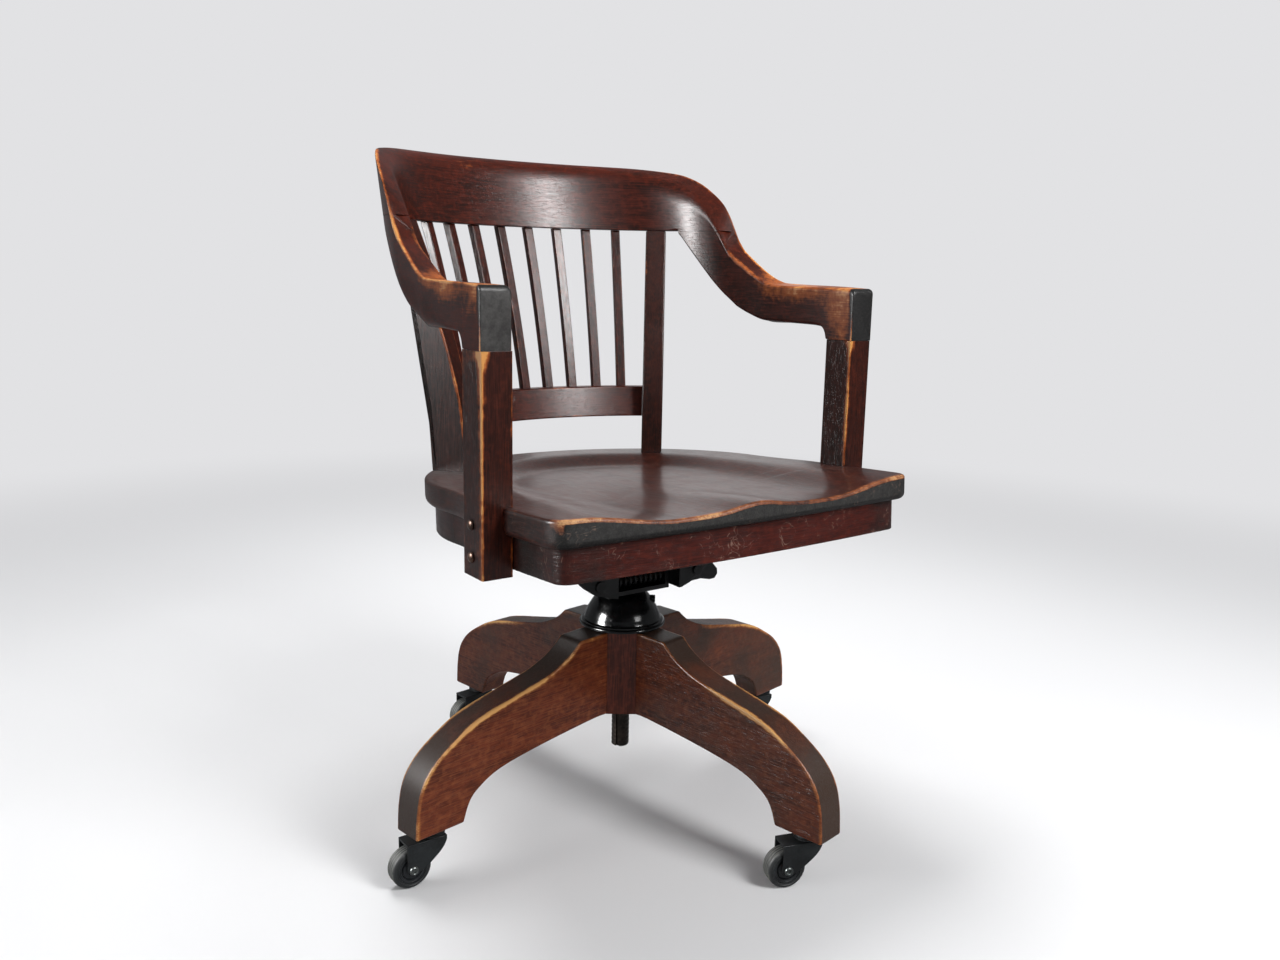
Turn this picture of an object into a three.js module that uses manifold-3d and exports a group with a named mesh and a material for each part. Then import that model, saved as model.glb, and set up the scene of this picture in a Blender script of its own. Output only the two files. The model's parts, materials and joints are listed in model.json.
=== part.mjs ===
// A bankers swivel chair: a saddled wooden seat on an apron, a bow of two arms and a crest rail over
// eight slats, a tilting and screw-height cast iron, and a four-legged base on casters.
// Millimetres, +Z up. The sitter faces -Y. The floor is at Z 0.
import * as THREE from "three";
import { mergeVertices } from "three/addons/utils/BufferGeometryUtils.js";
import Module from "manifold-3d";

const wasm = await Module();
wasm.setup();

const degree = Math.PI / 180;

// Fits
const gap = 0.3; // air left between two pieces that touch
const overrun = 4; // how far a cutter runs past the wood or iron
const roundSteps = 24; // flats round a large turned piece
const smallSteps = 10; // flats round a bolt or a pin
const frontTurn = -90; // degrees, the way the chair faces

// Casters
const wheelRadius = 25;
const wheelWidth = 20;
const treadThickness = 7;
const treadRoundShare = 0.35; // of the tread's thickness, rounded off at each side
const wheelFaceStep = 1.5; // how far the black core stands back from the tread's side
const casterHeight = 68; // floor to the underside of a foot
const casterTrail = 29; // stem axis to axle
const raceRadius = 17;
const raceHeight = 9;
const forkPlate = 2.6;
const forkSideGap = 1.2;
const forkHeel = 15; // how far the fork reaches past its stem, away from the axle
const forkEye = 7.5; // radius of the fork's end round the axle
const forkEyeStart = 232; // degrees, from here to straight ahead the eye's edge is round
const stemRadius = 4.5;
const stemLength = 36;
const axleRadius = 3;
const axleHeadRadius = 5.8;
const axleHeadHeight = 2.6;
const casterTurns = [162, 172, 188, 180]; // degrees, the way each wheel trails, in leg order

// Base
const baseTurn = 10.54; // degrees the base stands turned under the chair
const legCount = 4;
const legThickness = 42;
const legReach = 359.7; // swivel axis to the tip of a leg
const legTop = 255;
const hubAcrossFlats = 98;
const hubTop = 257;
const hubBottom = 138;
const hubSides = 8;
const stemFromTip = 34.5; // caster stem to the tip of the leg
const plateThickness = 3;
const plateRadius = 40;

// Screw spindle and its dome-shaped nut
const spindleRadius = 12.4;
const spindleLift = 50; // how far the spindle screws up
const spindleFoot = 10.7; // what is left of it under the plate when it is right up
const spindleProud = 8; // how far its top stands out of the tray
const nutSleeveRadius = 18;
const nutSleeveLift = 12; // the hub's underside up to the end of the sleeve
const flangeRadius = 59.7;
const domeHeight = 45;
const collarRadius = 20;
const collarHeight = 5;
const keyWidth = 4;
const keyDepth = 3;
const keyTurn = 215; // degrees, the way the keyway looks
const setScrewTurn = -35; // degrees, the side of the dome that the set screw is on
const setScrewDrop = 12; // top of the dome down to the set screw
const setScrewRadius = 3;
const setScrewHead = 5;
const setScrewSeat = 38; // swivel axis to the spot face under the screw's head
const setScrewHeadHeight = 7;

// Tilt iron
const pivotForward = 28; // swivel axis forward to the tilt pin
const pivotRise = 18.4; // underside of the tray up to the tilt pin
const pinRadius = 5.5;
const trayHalfWidth = 50;
const trayFront = 40;
const trayBack = 34;
const trayHeight = 37.4;
const trayWall = 6;
const trayWeb = 4.8; // iron left between the spring's channel and the spindle
const springWire = 2; // radius
const springRadius = 8.2; // to the middle of the wire
const springCurls = 10;
const lugRadius = 13;
const lugLength = 12;
const wingFront = 63;
const wingThickness = 10;
const wingProud = 1; // how far a wing stands higher than the tray
const bossSpread = 80;
const bossLift = 8; // tilt pin up to the middle of a boss
const bossRadius = 7;
const bossRise = 3;
const ironWeb = 8;
const ironWebDepth = 34;
const ironFlangeWidth = 44;
const ironFlangeThickness = 6;
const ironFront = 150;
const ironBack = 140;
const ironScrewInset = 16; // end of a flange to its screw
const ironScrewRadius = 2.6;
const ironScrewHead = 5.5;
const ironScrewHeadHeight = 3;
const ironScrewBite = 10;

// Seat
const seatTilt = 3.3; // degrees the seat falls to the back
const seatCentreBack = 24; // swivel axis back to the centre of the round rear
const seatHalfWidth = 271;
const seatRearDraw = 13; // how much nearer the middle the round rear is than the sides
const seatFront = 268; // swivel axis forward to the front corners
const seatFrontBow = 10;
const seatCorner = 28;
const seatSideShare = 0.4; // of the front's distance, where the sides start to draw in
const seatThickness = 32;
const seatHeight = 468.8; // top of the rim over the swivel axis
const seatEdge = 4;
const dishDepth = 13.5;
const dishSideRim = 29; // the seat's side to the start of the hollow
const dishRearRim = 58;
const dishFrontFall = 125; // width of the slope from the rim down to the hollow
const dishRearFall = 66;
const ridgeHeight = 8;
const ridgeHalfWidth = 42;
const ridgeLength = 210;
const apronHeight = 40;
const apronThickness = 22;
const apronCorner = 21;

// Arm posts
const postWidth = 38.6;
const postDepth = 45.9;
const postProud = 26; // how far a post stands out of the seat's side
const postSetBack = 134.3; // front corner of the seat back to the middle of a post
const postDrop = 71.3; // top of the seat's rim down to the foot of a post
const postRise = 181.2; // the same rim up to the joint, where the arm sits on the post
const boltSetBack = 2.7; // middle of a post back to its bolts
const boltLowDrop = 48.8; // the rim down to the lower bolt
const boltHighDrop = 11.8;
const boltRadius = 3.5;
const boltHeadRadius = 6.8;
const boltHeadHeight = 4;
const boltBite = 14;
// A round head's outline from its rim, as shares of its radius and height.
const roundHeadShares = [[1, 0], [0.8, 0.6], [0.4, 0.95], [0, 1]];

// Bow: the two arms and the crest rail, which meet at a flat scarf
const scarfRise = 331.2; // top of the seat's rim up to the scarf
const crestHeight = 103;
const bowLean = 0.3; // how far the back leans for each millimetre of height
const bowLeanStart = 100; // the lean grows from the swivel axis to here
const bowBack = 312; // swivel axis back to the middle of the crest, at the scarf
const bowRadius = 340;
const shoulderDraw = 11.2; // how much nearer the middle the arm is where it starts to turn in
const shoulderBack = 110; // swivel axis back to there
const crestThickness = 24;
const armEdge = 5;
const swoopRound = 9; // how far the outer face draws in at the foot of the arm's swoop
const swoopRise = 44;

// Back frame
const backPostWidth = 31.5;
const backPostTurn = 36; // degrees the post's plank is turned from the middle plane
const backPostSide = 36.3; // the plank's middle, sideways from the swivel axis
const backPostFront = 211; // front edge at the seat, back from the swivel axis
const backPostRoot = 55;
const backPostHead = 21;
const backPostProud = 4; // how far the head stands in front of the crest's inner face
const railRise = 45.7; // top of the seat's rim up to the rail
const railHeight = 45;
const railThickness = 20;
const railEdge = 2;
const railSpread = 34; // degrees each way, cut off where it meets the back posts
const slatCount = 8;
const slatWidth = 13.4;
const slatDepth = 12;
const slatPitch = 8.1; // degrees along the crest
const slatRailPitch = 6.75; // degrees along the rail
const slatBow = 4;

const wood = new THREE.MeshStandardMaterial({ color: 0x4a1d12, roughness: 0.4, metalness: 0 });
const darkWood = new THREE.MeshStandardMaterial({ color: 0x381710, roughness: 0.45, metalness: 0 });
const iron = new THREE.MeshStandardMaterial({ color: 0x17181a, roughness: 0.45, metalness: 0.7 });
const steel = new THREE.MeshStandardMaterial({ color: 0x2b2a28, roughness: 0.5, metalness: 0.8 });
const rubber = new THREE.MeshStandardMaterial({ color: 0x55585a, roughness: 0.85, metalness: 0 });
const plastic = new THREE.MeshStandardMaterial({ color: 0x121314, roughness: 0.5, metalness: 0 });

const chair = new THREE.Group();

// A named mesh, put into a group.
function piece(name, geometry, material, group = chair) {
  const mesh = new THREE.Mesh(geometry, material);
  mesh.name = name;
  group.add(mesh);
  return mesh;
}

// A closed geometry as a solid that can be joined and cut.
function solid(geometry) {
  const flat = geometry.index ? geometry.toNonIndexed() : geometry;
  const bare = new THREE.BufferGeometry();
  bare.setAttribute("position", flat.getAttribute("position").clone());
  const merged = mergeVertices(bare);
  const corners = [];
  const index = merged.index.array;
  for (let i = 0; i < index.length; i += 3) {
    const [a, b, c] = [index[i], index[i + 1], index[i + 2]];
    if (a !== b && b !== c && c !== a) corners.push(a, b, c);
  }
  return new wasm.Manifold(
    new wasm.Mesh({
      numProp: 3,
      vertProperties: merged.attributes.position.array,
      triVerts: new Uint32Array(corners),
    }),
  );
}

// A joined or cut solid back as a geometry.
function geometryOf(manifold) {
  const mesh = manifold.getMesh();
  const geometry = new THREE.BufferGeometry();
  geometry.setAttribute("position", new THREE.BufferAttribute(mesh.vertProperties, 3));
  geometry.setIndex(new THREE.BufferAttribute(mesh.triVerts, 1));
  return geometry;
}

function joined(...geometries) {
  return geometries.map(solid).reduce((all, next) => all.add(next));
}

function less(base, ...cutters) {
  return cutters.map(solid).reduce((all, next) => all.subtract(next), base);
}

// A box between two corners.
function box(low, high) {
  const size = high.map((value, i) => value - low[i]);
  const middle = high.map((value, i) => (value + low[i]) / 2);
  return new THREE.BoxGeometry(...size).translate(...middle);
}

// A turned piece about Z from [radius, height] pairs that start and end on the axis or close.
function turned(profile, steps = roundSteps) {
  const points = profile.map(([radius, height]) => new THREE.Vector2(radius, height));
  return new THREE.LatheGeometry(points, steps).rotateX(90 * degree);
}

// An upright cylinder between two heights.
function rod(radius, low, high, steps = smallSteps) {
  return turned([[0, low], [radius, low], [radius, high], [0, high]], steps);
}

// The same cylinder laid along X between two places.
function crossRod(radius, left, right, steps = smallSteps) {
  return rod(radius, left, right, steps).rotateY(90 * degree);
}

// An outline in a plane, given a thickness along Z.
function slab(shape, low, high, curveSteps = smallSteps) {
  const options = { depth: high - low, bevelEnabled: false, curveSegments: curveSteps };
  return new THREE.ExtrudeGeometry(shape, options).translate(0, 0, low);
}

// An outline in X and Z, given a thickness along Y.
function plank(shape, low, high, curveSteps = smallSteps) {
  return slab(shape, -high, -low, curveSteps).rotateX(90 * degree);
}

function shapeFrom(points) {
  return new THREE.Shape(points.map(([x, y]) => new THREE.Vector2(x, y)));
}

function clamp01(value) {
  return Math.min(1, Math.max(0, value));
}

function smooth(value) {
  const t = clamp01(value);
  return t * t * (3 - 2 * t);
}

// The value of a table of [place, value] rows at a place, on a smooth line through the rows that
// never swings past them.
function along(table, place) {
  const last = table.length - 1;
  if (place <= table[0][0]) return table[0][1];
  if (place >= table[last][0]) return table[last][1];
  const rise = (k) => (table[k + 1][1] - table[k][1]) / (table[k + 1][0] - table[k][0]);
  const slopeAt = (k) => {
    if (k === 0 || k === last) return rise(Math.min(k, last - 1));
    const [before, after] = [rise(k - 1), rise(k)];
    return before * after > 0 ? (2 * before * after) / (before + after) : 0;
  };
  const i = table.findIndex((row, k) => k < last && place < table[k + 1][0]);
  const [start, from] = table[i];
  const [end, to] = table[i + 1];
  const t = (place - start) / (end - start);
  const swing = (end - start) * t * (1 - t) * ((1 - t) * slopeAt(i) - t * slopeAt(i + 1));
  return from * (1 - t) ** 2 * (1 + 2 * t) + to * t ** 2 * (3 - 2 * t) + swing;
}

// A closed skin from rings of points that all have the same count. The last ring meets the first
// where the skin closes on itself, and otherwise each end is a flat cap.
function skin(rings) {
  const count = rings[0].length;
  const positions = rings.flat(2);
  const index = [];
  for (let ring = 0; ring + 1 < rings.length; ring += 1) {
    for (let i = 0; i < count; i += 1) {
      const a = ring * count + i;
      const b = ring * count + ((i + 1) % count);
      index.push(a, b, b + count, a, b + count, a + count);
    }
  }
  const last = (rings.length - 1) * count;
  for (let i = 1; i + 1 < count; i += 1) {
    index.push(0, i + 1, i, last, last + i, last + i + 1);
  }
  const geometry = new THREE.BufferGeometry();
  geometry.setAttribute("position", new THREE.Float32BufferAttribute(positions, 3));
  geometry.setIndex(index);
  return geometry;
}

// Casters: a pressed steel fork with its stem and race, a rubber-tyred wheel and a riveted axle.
// Each is built with its stem on the Z axis and its wheel trailing along +X.
const forkTop = casterHeight - gap - raceHeight;
const wheelRim = wheelRadius - treadThickness;
const plateInner = wheelWidth / 2 + forkSideGap;
const plateOuter = plateInner + forkPlate;

// The cheek's edge on the stem's side, as shares of the trail and of the height over the axle.
const cheekShares = [[-0.41, 0.65], [-0.2, 0.43], [0.14, 0.18], [0.48, -0.03]];

function forkGeometry() {
  const cheek = new THREE.Shape();
  cheek.moveTo(-forkHeel, forkTop);
  cheek.lineTo(-forkHeel, forkTop - 2 * forkPlate);
  cheekShares.forEach(([trail, rise]) => {
    cheek.lineTo(trail * casterTrail, wheelRadius + rise * (forkTop - wheelRadius));
  });
  cheek.absarc(casterTrail, wheelRadius, forkEye, forkEyeStart * degree, 2 * Math.PI, false);
  cheek.lineTo(casterTrail + forkEye, forkTop);
  const hole = rod(axleRadius + gap, -plateOuter - overrun, plateOuter + overrun)
    .rotateX(90 * degree)
    .translate(casterTrail, 0, wheelRadius);
  const crown = box(
    [-forkHeel, -plateOuter, forkTop - forkPlate],
    [casterTrail + forkEye, plateOuter, forkTop],
  );
  const race = turned([
    [0, forkTop - forkPlate],
    [raceRadius - forkPlate, forkTop - forkPlate],
    [raceRadius, forkTop + forkPlate],
    [raceRadius, forkTop + raceHeight],
    [0, forkTop + raceHeight],
  ]);
  const stem = rod(stemRadius, forkTop, casterHeight + stemLength);
  const cheeks = [
    plank(cheek, plateInner, plateOuter),
    plank(cheek, -plateOuter, -plateInner),
  ];
  return geometryOf(less(joined(crown, race, stem, ...cheeks), hole));
}

// A wheel part about the axle, from [radius, width share] rows, closed on itself.
function wheelGeometry(profile) {
  const closed = [...profile, profile[0]];
  return turned(closed)
    .rotateX(90 * degree)
    .translate(casterTrail, 0, wheelRadius);
}

function tyreGeometry() {
  const inner = wheelRim + gap;
  const half = wheelWidth / 2;
  const shoulder = treadThickness * treadRoundShare;
  return wheelGeometry([
    [inner, -half],
    [wheelRadius - shoulder, -half],
    [wheelRadius, -half + shoulder],
    [wheelRadius, half - shoulder],
    [wheelRadius - shoulder, half],
    [inner, half],
  ]);
}

function coreGeometry() {
  const bore = axleRadius + gap;
  const boss = axleHeadRadius + gap;
  const half = wheelWidth / 2;
  const face = half - wheelFaceStep;
  return wheelGeometry([
    [bore, -half],
    [boss, -half],
    [boss, -face],
    [wheelRim, -face],
    [wheelRim, face],
    [boss, face],
    [boss, half],
    [bore, half],
  ]);
}

function axleGeometry() {
  const end = plateOuter + gap;
  const head = roundHeadShares.map(([reach, rise]) => [
    reach * axleHeadRadius,
    end + rise * axleHeadHeight,
  ]);
  const nearHead = head.map(([radius, place]) => [radius, -place]).reverse();
  const shank = [[axleRadius, -end], [axleRadius, end]];
  return turned([...nearHead, ...shank, ...head], smallSteps)
    .rotateX(90 * degree)
    .translate(casterTrail, 0, wheelRadius);
}

// Base: four legs sawn from plank round an eight-sided hub.
const hubHalf = hubAcrossFlats / 2;
const stemPlace = legReach - stemFromTip;
const legNames = ["front", "left", "back", "right"];
// The upper edge from the hub to the tip, as shares of the leg's length and height.
const legUpperShares = [
  [0.22, 0.904], [0.331, 0.82], [0.492, 0.757], [0.695, 0.679], [0.817, 0.58],
  [0.911, 0.471], [0.968, 0.345], [0.992, 0.19], [1, 0],
];
// The lower edge from the foot back to the hub, as the same shares.
const legLowerShares = [
  [0.748, 0.128], [0.7, 0.203], [0.597, 0.278], [0.395, 0.329], [0.092, 0.374], [0, 0.376],
];
const legCurveSteps = 2; // flats between two points of a leg's edge
const legShoulderShares = [0.154, 0.995];
const legHeelShares = [0.778, 0];

function legGeometry() {
  const start = hubHalf + gap;
  const [length, height] = [legReach - start, legTop - casterHeight];
  const at = ([reach, rise]) =>
    new THREE.Vector2(start + reach * length, casterHeight + rise * height);
  const shape = new THREE.Shape();
  shape.moveTo(start, legTop);
  const shoulder = at(legShoulderShares);
  shape.lineTo(shoulder.x, shoulder.y);
  shape.splineThru(legUpperShares.map(at));
  const heel = at(legHeelShares);
  shape.lineTo(heel.x, heel.y);
  shape.splineThru(legLowerShares.map(at));
  const half = legThickness / 2;
  const body = solid(plank(shape, -half, half, legCurveSteps));
  const bore = rod(stemRadius + gap, casterHeight - overrun, casterHeight + stemLength + gap)
    .translate(stemPlace, 0, 0);
  return geometryOf(less(body, bore));
}

const base = new THREE.Group();
base.rotation.z = (baseTurn + frontTurn) * degree;
chair.add(base);

legNames.forEach((place, i) => {
  const turn = (360 / legCount) * i * degree;
  const leg = piece("leg_" + place, legGeometry(), wood, base);
  leg.rotation.z = turn;
  const caster = new THREE.Group();
  const direction = base.rotation.z + turn;
  caster.position.set(stemPlace * Math.cos(direction), stemPlace * Math.sin(direction), 0);
  caster.rotation.z = casterTurns[i] * degree;
  chair.add(caster);
  piece("caster_fork_" + place, forkGeometry(), steel, caster);
  piece("caster_tyre_" + place, tyreGeometry(), rubber, caster);
  piece("caster_wheel_" + place, coreGeometry(), plastic, caster);
  piece("caster_axle_" + place, axleGeometry(), steel, caster);
});

// Hub: an eight-sided block bored for the nut's sleeve, with an iron plate below it.
const hubCorner = hubHalf / Math.cos(Math.PI / hubSides);
const hubBlock = new THREE.CylinderGeometry(hubCorner, hubCorner, hubTop - hubBottom, hubSides)
  .rotateX(90 * degree)
  .rotateZ(Math.PI / hubSides)
  .translate(0, 0, (hubTop + hubBottom) / 2);
const hubBore = rod(nutSleeveRadius + gap, hubBottom - overrun, hubTop + overrun, roundSteps);
piece("hub_block", geometryOf(less(solid(hubBlock), hubBore)), darkWood, base);

const plateTop = hubBottom - gap;
const plateBottom = plateTop - plateThickness;
const keyReach = spindleRadius - keyDepth;
const plateHole = rod(spindleRadius + gap, plateBottom - overrun, plateTop + overrun, roundSteps);
const plateKey = box(
  [keyReach + gap, -keyWidth / 2, plateBottom],
  [plateRadius / 2, keyWidth / 2, plateTop],
).rotateZ(keyTurn * degree - base.rotation.z);
const plate = less(solid(rod(plateRadius, plateBottom, plateTop, hubSides)), plateHole);
piece("hub_plate", geometryOf(plate.add(solid(plateKey))), iron, base);

// Nut: a domed iron with a flange on the hub and a threaded sleeve down through it.
const flangeBottom = hubTop + gap;
const domeTop = hubTop + domeHeight;
const nutSleeveBottom = hubBottom + nutSleeveLift;
// The dome from the flange up, as shares of the flange's radius and the dome's height.
const domeShares = [
  [1, 0.06], [0.97, 0.1], [0.94, 0.1], [0.94, 0.13], [0.91, 0.16], [0.87, 0.29], [0.805, 0.47],
  [0.737, 0.62], [0.64, 0.82], [0.54, 0.945], [0.4, 1],
];
const domeLine = domeShares.map(([reach, rise]) => {
  return [reach * flangeRadius, flangeBottom + rise * (domeTop - flangeBottom)];
});
const nutProfile = [
  [spindleRadius + gap, nutSleeveBottom],
  [nutSleeveRadius, nutSleeveBottom],
  [nutSleeveRadius, flangeBottom],
  [flangeRadius, flangeBottom],
  ...domeLine,
  [spindleRadius + gap, domeTop],
  [spindleRadius + gap, nutSleeveBottom],
];
const setScrewHeight = domeTop - setScrewDrop;
function setScrewRoom(radius, start, end) {
  return crossRod(radius, start, end)
    .rotateZ(setScrewTurn * degree)
    .translate(0, 0, setScrewHeight);
}
const nut = less(
  solid(turned(nutProfile)),
  setScrewRoom(setScrewRadius + gap, 0, flangeRadius),
  setScrewRoom(setScrewHead + gap, setScrewSeat, flangeRadius),
);
piece("hub_nut", geometryOf(nut), iron);
const setScrewStart = spindleRadius + 2 * gap;
const setScrewEnd = setScrewSeat + gap;
const setScrewProfile = [
  [0, setScrewStart],
  [setScrewRadius, setScrewStart],
  [setScrewRadius, setScrewEnd],
  [setScrewHead, setScrewEnd],
  [setScrewHead, setScrewEnd + setScrewHeadHeight],
  [0, setScrewEnd + setScrewHeadHeight],
];
const setScrew = turned(setScrewProfile, smallSteps)
  .rotateY(90 * degree)
  .rotateZ(setScrewTurn * degree)
  .translate(0, 0, setScrewHeight);
piece("dome_set_screw", setScrew, steel);

// Spindle: a steel screw with a thrust collar that the yoke turns on, and a keyway up its side
// that the plate's key runs in, so that turning the nut lifts it.
const collarBottom = domeTop + gap;
const collarTop = collarBottom + collarHeight;
const yokeBottom = collarTop + gap;
const trayTop = yokeBottom + trayHeight;
const spindleBottom = plateBottom - spindleLift - spindleFoot;
const spindleTop = trayTop + spindleProud;
const screwBody = solid(
  turned([
    [0, spindleBottom],
    [spindleRadius, spindleBottom],
    [spindleRadius, collarBottom],
    [collarRadius, collarBottom],
    [collarRadius, collarTop],
    [spindleRadius, collarTop],
    [spindleRadius, spindleTop],
    [0, spindleTop],
  ]),
);
const keyway = box(
  [keyReach, -keyWidth / 2 - gap, spindleBottom - overrun],
  [spindleRadius + overrun, keyWidth / 2 + gap, plateTop + overrun],
).rotateZ(keyTurn * degree);
piece("spindle", geometryOf(less(screwBody, keyway)), steel);

// Yoke: a cast tray that turns on the spindle, open in front, where the tilt pin and its spring lie.
const pivotY = -pivotForward;
const pivotHeight = yokeBottom + pivotRise;
const channelBack = -spindleRadius - gap - trayWeb;

function yokeGeometry() {
  const tray = box([-trayHalfWidth, -trayFront, yokeBottom], [trayHalfWidth, trayBack, trayTop]);
  const bore = rod(spindleRadius + gap, yokeBottom - overrun, trayTop + overrun, roundSteps);
  const pinHole = crossRod(pinRadius + gap, -trayHalfWidth - overrun, trayHalfWidth + overrun)
    .translate(0, pivotY, pivotHeight);
  const channel = box(
    [-trayHalfWidth + trayWall, -trayFront - overrun, yokeBottom + trayWall],
    [trayHalfWidth - trayWall, channelBack, trayTop - trayWall],
  );
  return geometryOf(less(solid(tray), bore, pinHole, channel));
}
piece("tilt_yoke", yokeGeometry(), iron);

// Tilt pin: runs across the tray's cheeks into both seat irons.
const lugStart = trayHalfWidth + gap;
const lugEnd = lugStart + lugLength;
piece("tilt_pin", crossRod(pinRadius, -lugEnd, lugEnd).translate(0, pivotY, pivotHeight), steel);

// Tilt spring: one coil round the pin, from cheek to cheek.
function springGeometry() {
  const stepsPerCurl = 8;
  const wireSides = 5;
  const reach = trayHalfWidth - trayWall - gap - springWire;
  const steps = stepsPerCurl * springCurls;
  const rings = [];
  for (let step = 0; step <= steps; step += 1) {
    const share = step / steps;
    const angle = 2 * Math.PI * springCurls * share;
    const ring = [];
    for (let side = 0; side < wireSides; side += 1) {
      const turn = (2 * Math.PI * side) / wireSides;
      const radius = springRadius + springWire * Math.cos(turn);
      ring.push([
        reach * (2 * share - 1) + springWire * Math.sin(turn),
        pivotY + radius * Math.cos(angle),
        pivotHeight + radius * Math.sin(angle),
      ]);
    }
    rings.push(ring.reverse());
  }
  const least = Math.min(
    ...rings.slice(stepsPerCurl).map((ring, i) => {
      const [right, left] = [Math.min(...ring.map((p) => p[0])), Math.max(...rings[i].map((p) => p[0]))];
      return right - left;
    }),
  );
  console.log("tilt spring: least gap between curls " + least.toFixed(2) + " mm");
  return skin(rings);
}
piece("tilt_spring", springGeometry(), steel);

// The seat's own slope: heights of its top rim and underside over the floor at a place Y.
const slope = Math.tan(seatTilt * degree);
const seatDrop = seatThickness / Math.cos(seatTilt * degree);
const seatTopAt = (y) => seatHeight - slope * y;
const seatUnderAt = (y) => seatTopAt(y) - seatDrop;

// Seat irons: a lug on the pin, a wing across the front, and a web up to a flange under the seat.
// The wings are cast to two patterns. Their lower edges are [spread, height] shares of the boss's
// spread past the lug and of the boss's height over the lug's foot.
const wingShares = {
  left: [
    [0, 0], [0.16, 0], [0.73, 0.3], [1.24, 0.35], [1.8, 0.17], [2.1, 0.2], [2.25, 0.5],
    [2.22, 0.85], [1.8, 1.5],
  ],
  right: [[0, 0], [0.2, 0.06], [1.2, 0.46], [1.68, 0.93], [2.08, 1.45]],
};
const flangeMiddle = lugEnd;
const wingTop = trayTop + wingProud;
const bossHeight = pivotHeight + bossLift;

function seatIronGeometry(name) {
  const lug = crossRod(lugRadius, lugStart, lugEnd, roundSteps).translate(0, pivotY, pivotHeight);
  const wingFoot = pivotHeight - lugRadius;
  const at = ([out, up]) => [
    lugStart + out * (bossSpread - lugStart),
    wingFoot + up * (bossHeight - wingFoot),
  ];
  const lower = wingShares[name].map(at);
  const wingShape = shapeFrom([...lower, [lower.at(-1)[0], wingTop], [lugStart, wingTop]]);
  const wing = plank(wingShape, -wingFront, -wingFront + wingThickness);
  const boss = rod(bossRadius, -wingThickness / 2, bossRise)
    .rotateX(90 * degree)
    .translate(bossSpread, -wingFront, bossHeight);
  const block = box(
    [lugStart, -wingFront + wingThickness / 2, wingFoot],
    [lugEnd, pivotY, pivotHeight + lugRadius],
  );
  const flangeTopAt = (y) => seatUnderAt(y) - gap;
  const flangeUnderAt = (y) => flangeTopAt(y) - ironFlangeThickness;
  const turnUp = (geometry) => geometry.rotateX(90 * degree).rotateZ(90 * degree);
  const webShape = shapeFrom([
    [-wingFront, wingFoot + trayWall],
    [pivotY, wingFoot],
    [pivotY + lugRadius, pivotHeight],
    [trayBack, flangeUnderAt(trayBack) - ironWebDepth],
    [ironBack, flangeUnderAt(ironBack)],
    [ironBack, flangeTopAt(ironBack)],
    [-ironFront, flangeTopAt(-ironFront)],
    [-ironFront, flangeUnderAt(-ironFront)],
    [-wingFront, flangeUnderAt(-wingFront) - ironWebDepth],
  ]);
  const web = turnUp(slab(webShape, lugEnd - ironWeb / 2, lugEnd + ironWeb / 2));
  const flangeShape = shapeFrom([
    [-ironFront, flangeUnderAt(-ironFront)],
    [ironBack, flangeUnderAt(ironBack)],
    [ironBack, flangeTopAt(ironBack)],
    [-ironFront, flangeTopAt(-ironFront)],
  ]);
  const flange = turnUp(
    slab(flangeShape, flangeMiddle - ironFlangeWidth / 2, flangeMiddle + ironFlangeWidth / 2),
  );
  const pinHole = crossRod(pinRadius + gap, lugStart - overrun, lugEnd + gap)
    .translate(0, pivotY, pivotHeight);
  return less(joined(lug, wing, boss, block, web, flange), pinHole);
}

const seatRearRadius = seatHalfWidth - seatRearDraw;
const dishHalfWidth = seatHalfWidth - dishSideRim;
const dishRearRadius = seatRearRadius - dishRearRim;

// Seat outline: a round rear, sides that open out to the front, and a bowed front edge.
function seatOutline(inset, round = seatCorner - inset) {
  const rear = seatRearRadius - inset;
  const half = seatHalfWidth - inset;
  const front = -(seatFront - inset);
  const corner = Math.max(round, seatEdge);
  const sideStart = -seatFront * seatSideShare;
  const shape = new THREE.Shape();
  shape.moveTo(half, sideStart);
  shape.bezierCurveTo(half, sideStart / 2, rear, sideStart / 3, rear, seatCentreBack);
  shape.absarc(0, seatCentreBack, rear, 0, Math.PI, false);
  shape.bezierCurveTo(-rear, sideStart / 3, -half, sideStart / 2, -half, sideStart);
  shape.lineTo(-half, front + corner);
  shape.quadraticCurveTo(-half, front, -half + corner, front);
  shape.quadraticCurveTo(0, front - 2 * seatFrontBow, half - corner, front);
  shape.quadraticCurveTo(half, front, half, front + corner);
  return shape;
}

// How far the saddled top lies under the rim.
function dishAt(x, y) {
  const backShare = clamp01((y + seatFront) / (seatFront + seatCentreBack));
  const border = dishHalfWidth + (dishRearRadius - dishHalfWidth) * backShare;
  const fall = dishFrontFall + (dishRearFall - dishFrontFall) * backShare;
  const across = Math.hypot(x, Math.max(0, y - seatCentreBack));
  const hollow = dishDepth * smooth((border - across) / fall);
  const ridgeShare = smooth((ridgeLength - seatFront - y) / ridgeLength);
  const ridge = ridgeHeight * Math.exp(-((x / ridgeHalfWidth) ** 2)) * ridgeShare;
  return Math.max(0, hollow - ridge);
}

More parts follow.
